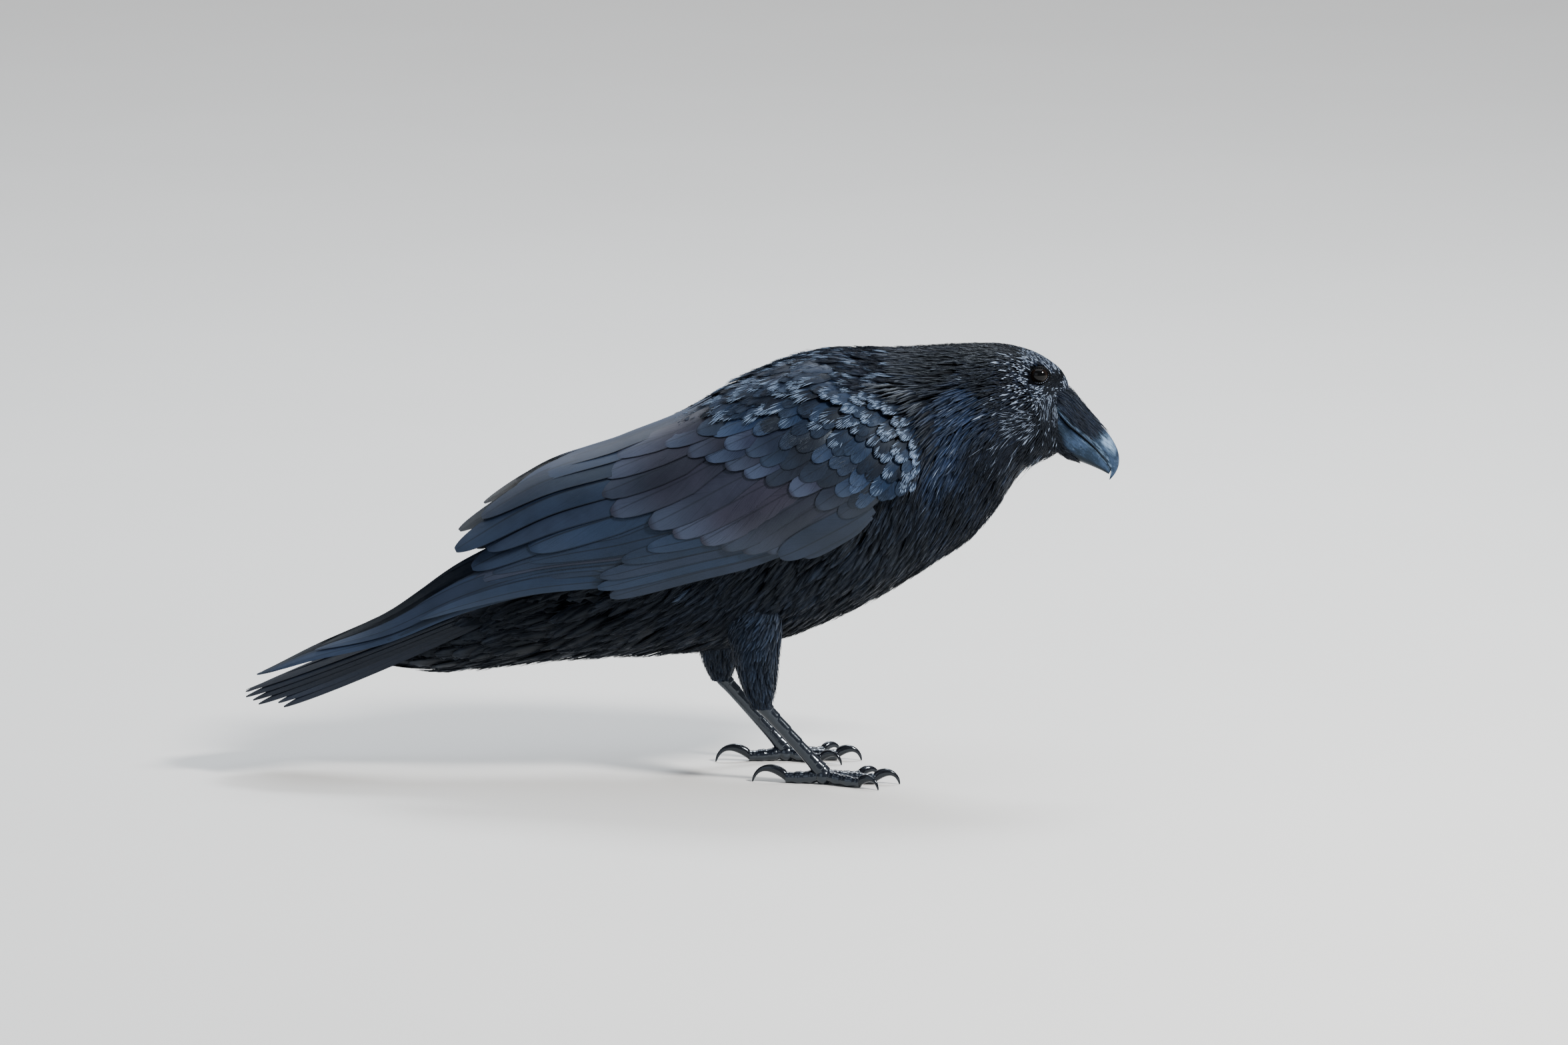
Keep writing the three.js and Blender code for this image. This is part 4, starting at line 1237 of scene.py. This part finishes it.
def regionPlan(region, rng):
    # Feathers scattered evenly over a region, thinned where they are long, less what the wing hides.
    long, wide = region["finest"]
    gap = long * region.get("gap", coatLook["gap"])
    spacing = wide * region.get("spacing", coatLook["spacing"])
    root = scatter(hullSurface, *region["stations"], gap, spacing, rng)
    low, high = region["angles"]
    turned = np.abs(root[:, 1]) + rng.normal(0, coatLook["ragged"], len(root)) * degrees
    root = root[(turned >= low * degrees) & ((turned <= high * degrees) | (high == 180))]
    lie = lieAt(hullSurface(*root.T, 0))
    kept = rng.random(len(root)) < long * wide / (lie[1] * lie[2])
    root, lie = root[kept], lie[:, kept]
    count = len(root)
    depth = coatDepth(np.minimum(root[:, 0], coatLook["lastDeep"]))
    tall = rng.uniform(*coatLook["tips"], count) * np.minimum(depth / 4, 1)
    sunk = -np.minimum(depth, region["sink"]) - coatLook["under"]
    plan = coatPlan(hullSurface, root, lie, sunk, tall, rng, region["jitter"], region["curl"])
    plan["tilt"] = rng.normal(0, region["twist"], count) + region.get("shingle", 0) * np.sign(root[:, 1])
    plan["bake"] = hullBake(root)
    roots, tips = hullSurface(*root.T, 0), hullSurface(*plan["tip"].T, 0)
    keep = ~(hiddenByWing(roots) & hiddenByWing(tips)) & ~nearEye(roots) & ~nearEye(tips)
    return {key: value[keep] for key, value in plan.items()}


def makeCoat():
    for k, (name, region) in enumerate(regions.items()):
        rng = np.random.default_rng(100 + k)
        plan = regionPlan(region, rng)
        shape = shapes[region["shape"]]
        sets = [makeFeathers(hullSurface, plan, shape)]
        if region["barbs"]:
            # The loose barbs of a share of the feathers get painted glints.
            sets.append(fringe(hullSurface, plan, shape, rng, region["barbs"], region["barb"],
                               region["start"], frosted=region.get("frosted", 0)))
        featherPiece("coat_" + name, sets, coats[region["plumes"]], "body_feathers")


makeCoat()

# Stretch of the thigh from ankle to hip, rows and spacing, depth of the roots, how far the upper ones
# sweep back, and the feathers' sizes from ankle to hip.
thighCoat = {"from": 0.06, "to": 0.96, "gap": 2.9, "spacing": 2.5, "depth": 2.8, "swept": 48,
             "length": (11, 30), "width": (2.2, 5.2), "tone": (0.3, 0.88), "hue": 0.7, "curl": 0.8,
             "barbs": {"count": 2, "width": 0.45, "start": 0.3}}


def makeThighCoat():
    look = thighCoat
    for name, leg in legs.items():
        rng = np.random.default_rng(300 + leg["side"])
        surface = thighSurface(leg)
        root = scatter(surface, look["from"], look["to"], look["gap"], look["spacing"], rng)
        count = len(root)
        p, angle = root.T
        # The upper ones lean back with the belly.
        turn = 6 * np.sin(angle * 7 + p * 5) + look["swept"] * smooth(0.4, 0.95, p) * np.sin(angle)
        plan = planFrom(surface, root, None, (turn + rng.normal(0, 6, count)) * degrees,
                        spread(look["length"], p), spread(look["width"], p), -look["depth"],
                        rng.uniform(-0.5, 0.5, count), rng, curl=look["curl"], tone=look["tone"],
                        hue=look["hue"])
        plan["low"] = plan["low"] - 5 * smooth(0.75, 0.95, p)
        plan["tip"][:, 0] = np.maximum(plan["tip"][:, 0], -0.02)
        plan["bake"] = pack(angle / (2 * np.pi) + 0.5, p)
        soft = shapes["soft"]
        sets = [makeFeathers(surface, plan, soft), fringe(surface, plan, soft, rng, **look["barbs"])]
        featherPiece("coat_thigh_" + name, sets, coats["body"], "body_feathers")


makeThighCoat()
print("coat made")

# The bill and the bristles over it.

# Upper edge x, z, lower edge x, z, half width, from inside the head to the tip.
billStations = {
    "upper": [
        [248, 262, 239, 250, 9.5],
        [258.4, 257.3, 247.5, 244.3, 10.6],
        [267.2, 245.8, 255.5, 235.6, 10],
        [276.4, 235.3, 264.5, 228, 8.8],
        [284.4, 226, 272.5, 220.6, 7.1],
        [289.6, 216, 279.3, 212.8, 5],
        [290.4, 207.6, 283.4, 206.6, 3],
        [288.2, 201.4, 285, 202.2, 1.5],
        [284.4, 196.6, 284, 196.9, 0.3],
    ],
    "lower": [
        [241, 248.8, 240, 229, 9.0],
        [248.2, 245, 246, 220, 9.6],
        [256.2, 236.4, 253, 212.8, 8.9],
        [265.2, 228.8, 262, 209.8, 7.7],
        [273.4, 221.4, 270.5, 206.6, 5.9],
        [280.4, 213.4, 277, 203.8, 3.9],
        [284.2, 207, 281.6, 201.5, 2.0],
        [285, 203, 283.6, 200.4, 0.6],
    ],
}
# The nose carries the bristles: the upper half with one more station inside the forehead.
billStations["nose"] = [[237, 270, 229, 257, 9.5]] + billStations["upper"]
ridgeRoundness = 0.62  # lower is squarer


def billSurface(half):
    def surface(v, angle, high):
        # Each section is flat along the cutting edge and round over the ridge: height sin^0.62 of the
        # angle, width cos of it. A shallow groove runs just off the cutting edge.
        ux, uz, lx, lz, wide = np.moveaxis(along(billStations[half], v), -1, 0)
        edge, ridge = ((ux, uz), (lx, lz)) if half == "lower" else ((lx, lz), (ux, uz))
        tall = np.hypot(ux - lx, uz - lz)
        s = np.sin(angle)
        up = np.where(s > 0, np.abs(s) ** ridgeRoundness, 0) * (1 + high / tall)
        groove = 0.6 * np.exp(-(((up - 0.16) / 0.05) ** 2)) * (s > 0) * (wide / 10)
        y = np.cos(angle) * (wide + high - groove)
        return pack(edge[0] + (ridge[0] - edge[0]) * up, y, edge[1] + (ridge[1] - edge[1]) * up)

    return surface


billLook = {"rows": 80, "columns": 56}


def makeBill():
    for half in horns:
        v, angle = ringGrid(0, 1, billLook["rows"], billLook["columns"])
        points, faces = tubeMesh(billSurface(half)(v, angle, 0))
        up = np.maximum(np.sin(angle), 0) ** ridgeRoundness
        marks = {"up": np.append(up.ravel(), [0.5, 0.5]), "down": np.append(v.ravel(), [0, 1])}
        piece = makeMesh("bill_" + half + "_horn", points, faces, marks=marks)
        place(piece, horns[half], "bill_horn", "bill_" + half)


makeBill()

# Strands of the face, seen from the side: middle x, z of their roots, spread in x and z, scatter of their
# way in degrees, length, count, heights, share with painted glints at their ends, and their way in degrees
# from straight ahead (90 is up) or the place that they fan out from.
faceStrands = table(
    "at reach turn length count high frosted way from",
    ((229, 239), (11, 8), 8, (5, 12), 330, (0.1, 1.1), 0.24, None, (251, 242)),
    ((241, 255), (8, 3.5), 20, (4, 12), 170, (0.2, 1.2), 0.3, -78),
    ((247, 247), (2.5, 5), 18, (4, 9), 90, (0.3, 1.0), 0.4, -66),
    ((243, 215), (11, 2.5), 16, (6, 11), 160, (0.6, 3.2), 0.08, -125),
    ((214, 222), (12, 10), 12, (10, 17), 200, (0.4, 1.8), 0.06, -132),
)
# Bristles over the upper half: the stretch of it they are rooted on, and their looks.
bristleLook = {"half": "nose", "count": 1500, "from": 0.05, "to": 0.385, "length": (13, 22), "width": 0.7,
               "vary": 0.7, "widest": 1.2, "low": 0.1, "high": (0.2, 1.5), "turn": 4, "tone": (0.15, 0.93),
               "hue": 0.45, "bow": 0.05, "bake": (0.4, 0.2)}
# Jaw feathers over the base of the lower half; their edge is how far up its side they reach, by the way
# along it.
jawLook = {"half": "lower", "count": 900, "length": (6, 12), "width": 0.75, "perLength": 62,
           "vary": 0.7, "widest": 1.3, "low": -0.2, "high": (0.2, 1.3), "turn": 5, "tone": (0, 0.5),
           "hue": 0.4, "bow": 0.06, "bake": (0.3, 0.1)}
jawEdge = [[0, 0.36], [0.14, 0.45], [0.43, 0.78], [0.49, 1.0]]


def flankAngle(up, rng):
    # The angle of a height up the bill's section, on one side or the other by chance.
    angle = np.arcsin(up ** (1 / ridgeRoundness))
    return np.where(rng.random(len(up)) < 0.5, angle, np.pi - angle)


def billBristles(v, angle, length, look, rng):
    # Strands that lie forward over a half of the bill from their roots on it.
    def surface(p, q, high):
        return billSurface(look["half"])(1 - p, q, high)

    count = len(v)
    plan = planFrom(surface, pack(1 - v, angle), None, rng.normal(0, look["turn"], count) * degrees, length,
                    look["width"] * rng.uniform(look["vary"], look["widest"], count),
                    look["low"], rng.uniform(*look["high"], count), rng, tone=look["tone"],
                    hue=look["hue"], bowSpread=look["bow"])
    plan["bake"] = pack(look["bake"][0] + look["bake"][1] * angle / np.pi, 0.97 + 0 * v)
    return makeFeathers(surface, plan, strandShape)


def faceStrandSet(kind, side, rng):
    # Strands rooted in an oval patch of the hull, seen from the side.
    count = kind["count"]
    far = np.sqrt(rng.random(count))
    around = rng.uniform(0, 2 * np.pi, count)
    spot = pack(np.cos(around), np.sin(around)) * far[:, None] * kind["reach"] + kind["at"]
    if "from" in kind:
        way = np.arctan2(*(spot - kind["from"]).T[::-1])
    else:
        way = np.full(count, kind["way"] * degrees)
    way = way + rng.normal(0, kind["turn"], count) * degrees
    way = pack(np.cos(way), np.zeros(count), np.sin(way))
    root = hullAt(spot, side)
    plan = planFrom(hullSurface, root, way, np.zeros(count), spread(kind["length"], rng.random(count)),
                    rng.uniform(0.28, 0.5, count), -0.8, spread(kind["high"], rng.random(count)), rng,
                    tone=(0, 0.6), hue=0.4, bowSpread=0.11)
    # Painted glints: a share of the strands get the palest tone.
    plan["tone"][rng.random(count) < kind["frosted"]] = 1
    plan["bake"] = hullBake(root)
    return makeFeathers(hullSurface, plan, strandShape)


def makeBristles():
    # Nasal bristles lie forward over the upper bill, down to a little above the cutting edge.
    rng = np.random.default_rng(500)
    count = bristleLook["count"]
    v = rng.uniform(bristleLook["from"], bristleLook["to"], count)
    angle = flankAngle(rng.uniform(0.2, 1.0, count), rng)
    length = spread(bristleLook["length"], rng.random(count))
    sets = [billBristles(v, angle, length, bristleLook, rng)]
    # Jaw feathers are rooted their own length back from where they end, below their edge.
    count = jawLook["count"]
    length = spread(jawLook["length"], rng.random(count))
    v = rng.uniform(0.03, jawEdge[-1][0], count)
    edge = np.interp(v, *np.array(jawEdge).T)
    angle = flankAngle(edge + (1 - edge) * rng.random(count), rng)
    v = np.maximum(v - length / jawLook["perLength"], 0.01)
    sets.append(billBristles(v, angle, length, jawLook, rng))
    featherPiece("nasal_bristles", sets, coats["head"], "body_feathers")
    sets = [faceStrandSet(kind, side, rng) for kind in faceStrands for side in sides.values()]
    featherPiece("face_bristles", sets, coats["head"], "body_feathers")


makeBristles()

# The eyes and their lids.

# Eyeball: its width fore and aft and its height against the radius, and where its swell is cut back.
ballLook = {"fore": 0.98, "tall": 0.86, "squeezed": 0.96}


def lidRoll(side, turn, roll, inset, thick, y):
    # A ring tube: circles of a thickness carried round an oval of cos and sin, pointed a little fore and
    # aft by 1 + 0.05 cos of twice the angle.
    reach = 1 + lidLook["corner"] * np.cos(turn * 2)
    x = (eye["long"] - inset) * reach * np.cos(turn) + np.cos(turn) * thick * np.cos(roll)
    z = (eye["tall"] - inset) * reach * np.sin(turn) + np.sin(turn) * thick * np.cos(roll)
    quads = gridFaces(len(turn) + 1, roll.shape[1], True) % (len(turn) * roll.shape[1])
    return orient(pack(eye["x"] + x, side * y, eye["z"] + z).reshape(-1, 3), [quads])


def makeEyes():
    for name, side in sides.items():
        u, w = ringGrid(0.02, np.pi - 0.02, 48, 64)
        # A ball whose poles point sideways, drawn in behind the lids where the head has no room for it.
        r = eye["radius"]
        wide = r * np.minimum(np.sin(u), ballLook["squeezed"])
        ball = pack(eye["x"] + ballLook["fore"] * wide * np.cos(w), side * (eye["y"] + r * np.cos(u)),
                    eye["z"] + ballLook["tall"] * wide * np.sin(w))
        makeSolid("eyeball_" + name, tubeMesh(ball), eyeGlass, "eye", "eye_" + name)
        # The lid rests on the ball, and a row of beads runs along its inner edge.
        turn, roll = np.meshgrid(turns(96), turns(14), indexing="ij")
        within = lidLook["within"]
        fore = (eye["long"] * within) ** 2 * np.cos(turn) ** 2
        up = (eye["tall"] * within) ** 2 * np.sin(turn) ** 2
        seat = np.sqrt(np.maximum((r - lidLook["under"]) ** 2 - fore - up, lidLook["least"]))
        y = eye["y"] + seat + lidLook["roll"] * np.sin(roll)
        ripple = lidLook["ripple"] * np.sin(turn * lidLook["wrinkles"]) * (np.cos(roll) > 0)
        thick = lidLook["thick"] * (1 + ripple)
        bead = lidLook["bead"] * (1 + lidLook["beadRipple"] * np.sin(turn * lidLook["beads"]))
        inner = y + lidLook["beadRise"] - lidLook["roll"] * np.sin(roll) + bead * np.sin(roll)
        parts = [lidRoll(side, turn, roll, 0, thick, y), lidRoll(side, turn, roll, beadRow, bead, inner)]
        makeSolid("lid_" + name, joinParts(parts), lidSkin, "body_feathers")


makeEyes()
print("head made")

# Legs and feet.

shankRows = [
    [-0.06, 4.2, 3.4],
    [0.03, 5, 4.2],
    [0.18, 4.3, 3.3],
    [0.5, 4.1, 3.1],
    [0.8, 4.3, 3.4],
    [0.96, 5.2, 4.4],
    [1.06, 4.4, 4],
]
toes = {
    "hind": {"turn": 176, "length": 25, "radius": 4.1, "claw": 23},
    "inner": {"turn": 26, "length": 26, "radius": 3.7, "claw": 15},
    "middle": {"turn": 2, "length": 34, "radius": 4.1, "claw": 17},
    "outer": {"turn": -27, "length": 28, "radius": 3.7, "claw": 14.5},
}
toeRows = [
    [0, 6, 1.15],
    [0.25, 4.6, 1.04],
    [0.5, 3.8, 1.02],
    [0.75, 3.5, 0.94],
    [1, 3.6, 0.8],
]
# Length and height of a toe's plates, and radius and height of the ball of the foot.
toeLook = {"plate": 3.2, "step": 0.4, "ball": 5.8, "ballRise": 5}
# How far a claw starts inside the toe, its arch, height at the root, fall to the tip, and thickness.
clawLook = {"inside": 0.6, "arch": 0.27, "root": 4, "drop": 4.2, "thick": 0.8, "tip": 0.35}


plateEdge = 0.86  # where a scale starts to step down


def plate(share, count, height):
    # Overlapping scales along a limb: each rises slowly and steps down at its lower edge.
    f = share * count % 1
    return height * (f - smooth(plateEdge, 1.0, f))


shankLook = {"plates": 11, "step": 0.55}


def makeShank(name, leg):
    # Ovals strung from ankle to ball of the foot, tilted with the shank's lean.
    ankle, pad = np.array(leg["ankle"], float), np.array(leg["pad"], float)
    lean = np.arctan2(pad[0] - ankle[0], ankle[2] - pad[2])
    v, angle = ringGrid(0, 1, 150, 32)
    share, fore, wide = np.moveaxis(along(shankRows, v), -1, 0)
    # Plates on the front half, and a keel of smooth horn behind.
    extra = plate(v, shankLook["plates"], shankLook["step"]) * smooth(-0.2, 0.4, np.cos(angle))
    x, y, z = np.moveaxis(ankle + (pad - ankle) * share[..., None], -1, 0)
    reach = np.cos(angle) * (fore + extra)
    y = y + np.sin(angle) * (wide + extra * 0.6)
    rings = pack(x + reach * np.cos(lean), y, z + reach * np.sin(lean))
    makeSolid("shank_scales_" + name, tubeMesh(rings), legScale, "leg_scales", "shank_" + name)


def fromPad(leg, toe, forth, sideways, z):
    # Places by how far forth along the toe and how far sideways from its middle they lie, none below
    # the floor.
    angle = (leg["heading"] + leg["side"] * -toe["turn"]) * degrees
    dx, dy = np.cos(angle), np.sin(angle)
    x = leg["pad"][0] + dx * forth - dy * sideways
    return pack(x, leg["pad"][1] + dy * forth + dx * sideways, np.maximum(z, 0))


def toeRings(leg, toe):
    # Rounds along the toe, thicker at the knuckles, plated on top, padded and flat below.
    v, angle = ringGrid(0, 1, 60, 24, 0.5)
    share, height, size = np.moveaxis(along(toeRows, v), -1, 0)
    r = toe["radius"] * size * (1 + 0.07 * np.cos(share * 6 * np.pi))
    r = r + plate(v, toe["length"] / toeLook["plate"], toeLook["step"]) * smooth(-0.1, 0.5, np.sin(angle))
    return fromPad(leg, toe, toe["length"] * share, np.cos(angle) * r, height + np.sin(angle) * r)


def clawRings(leg, toe):
    # The claw arches up from the toe's end and comes down to its point; its rounds shrink as (1 - v)^0.8.
    v, angle = ringGrid(0, 1, 36, 18)
    tilt = 0.55 * np.sin(np.pi * v) - 1.3 * v * v
    out = toe["length"] - clawLook["inside"] + toe["claw"] * np.sin(v * np.pi / 2.15)
    rise = toe["claw"] * clawLook["arch"] * np.sin(np.pi * v**0.85)
    up = clawLook["root"] + rise - clawLook["drop"] * v**2.2
    r = toe["radius"] * clawLook["thick"] * (1 - v) ** 0.8 + clawLook["tip"]
    lift = np.sin(angle) * r
    return fromPad(leg, toe, out - np.sin(tilt) * lift, np.cos(angle) * r * 0.8, up + np.cos(tilt) * lift)


def makeFoot(name, leg):
    # The ball of the foot is a sphere cut off at the floor, and the toes and claws are tubes.
    u, w = ringGrid(0.05, np.pi - 0.05, 24, 32)
    r = toeLook["ball"]
    ball = pack(leg["pad"][0] + r * np.sin(u) * np.cos(w), leg["pad"][1] + r * np.sin(u) * np.sin(w),
                np.maximum(toeLook["ballRise"] + r * np.cos(u), 0))
    parts = [tubeMesh(ball)] + [tubeMesh(toeRings(leg, toe)) for toe in toes.values()]
    makeSolid("foot_scales_" + name, joinParts(parts), legScale, "leg_scales", "foot_" + name)
    for toeName, toe in toes.items():
        title = toeName + "_" + name
        claw = tubeMesh(clawRings(leg, toe))
        makeSolid("claw_horn_" + title, claw, clawHorn, "claw_horn", "claw_" + title)


for name, leg in legs.items():
    makeShank(name, leg)
    makeFoot(name, leg)
print("legs made")

# Floor, lights and camera.

floorLook = {"half": 6000, "colour": (0.62, 0.61, 0.59), "pale": (0.66, 0.65, 0.63)}


def makeFloor():
    half = floorLook["half"]
    corners = np.array([[-half, -half, 0], [half, -half, 0], [half, half, 0], [-half, half, 0]], float)
    floor = makeMesh("floor", corners, [np.array([[0, 1, 2, 3]])])
    net = Net("floorPaper", Roughness=0.8)
    grain = net.noise(3.0)
    tint = net.mix(grain, floorLook["colour"], floorLook["pale"])
    floor.data.materials.append(net.feed(Base_Color=tint))


makeFloor()

lamps = {
    "key": {"at": (2.0, -1.4, 2.2), "size": 0.5, "power": 190, "tint": (1.0, 0.98, 0.95)},
    "sky": {"at": (0.2, 0.6, 3.6), "size": 4.0, "power": 120, "tint": (0.84, 0.92, 1.0)},
    "fill": {"at": (-1.8, -2.6, 1.2), "size": 2.0, "power": 14, "tint": (0.82, 0.9, 1.0)},
    "rim": {"at": (0.6, 1.4, 2.4), "size": 0.7, "power": 60, "tint": (0.9, 0.95, 1.0)},
    "far": {"at": (0, 4.8, 3.2), "size": 5.0, "power": 125, "tint": (1.0, 1.0, 1.0), "aim": (0, 5.2, 0)},
}
aim = np.array([0.0695, 0.0, 0.168])
lampAim = (0, 0, 0.15)
sky = {"tint": (0.85, 0.9, 1.0), "strength": 0.3}
view = {"lens": 200, "sensor": 36, "distance": 5.75, "rise": 10, "far": 100}


def turnTo(thing, at, target):
    thing.location = at
    thing.rotation_mode = "QUATERNION"
    thing.rotation_quaternion = (Vector(target) - Vector(at)).to_track_quat("-Z", "Y")


def makeLights():
    for name, lamp in lamps.items():
        data = bpy.data.lights.new(name, "AREA")
        data.size = lamp["size"]
        data.energy = lamp["power"]
        data.color = lamp["tint"]
        light = bpy.data.objects.new(name, data)
        bpy.context.scene.collection.objects.link(light)
        turnTo(light, lamp["at"], lamp.get("aim", lampAim))
    world = bpy.data.worlds.new("studio")
    world.use_nodes = True
    background = world.node_tree.nodes["Background"]
    background.inputs["Color"].default_value = filled(sky["tint"])
    background.inputs["Strength"].default_value = sky["strength"]
    bpy.context.scene.world = world


def makeCamera():
    data = bpy.data.cameras.new("camera")
    data.lens = view["lens"]
    data.sensor_width = view["sensor"]
    data.clip_end = view["far"]
    camera = bpy.data.objects.new("camera", data)
    bpy.context.scene.collection.objects.link(camera)
    rise = view["rise"] * degrees
    at = aim + np.array([0, -np.cos(rise), np.sin(rise)]) * view["distance"]
    turnTo(camera, tuple(at), tuple(aim))
    bpy.context.scene.camera = camera


makeLights()
makeCamera()
print("stage made")
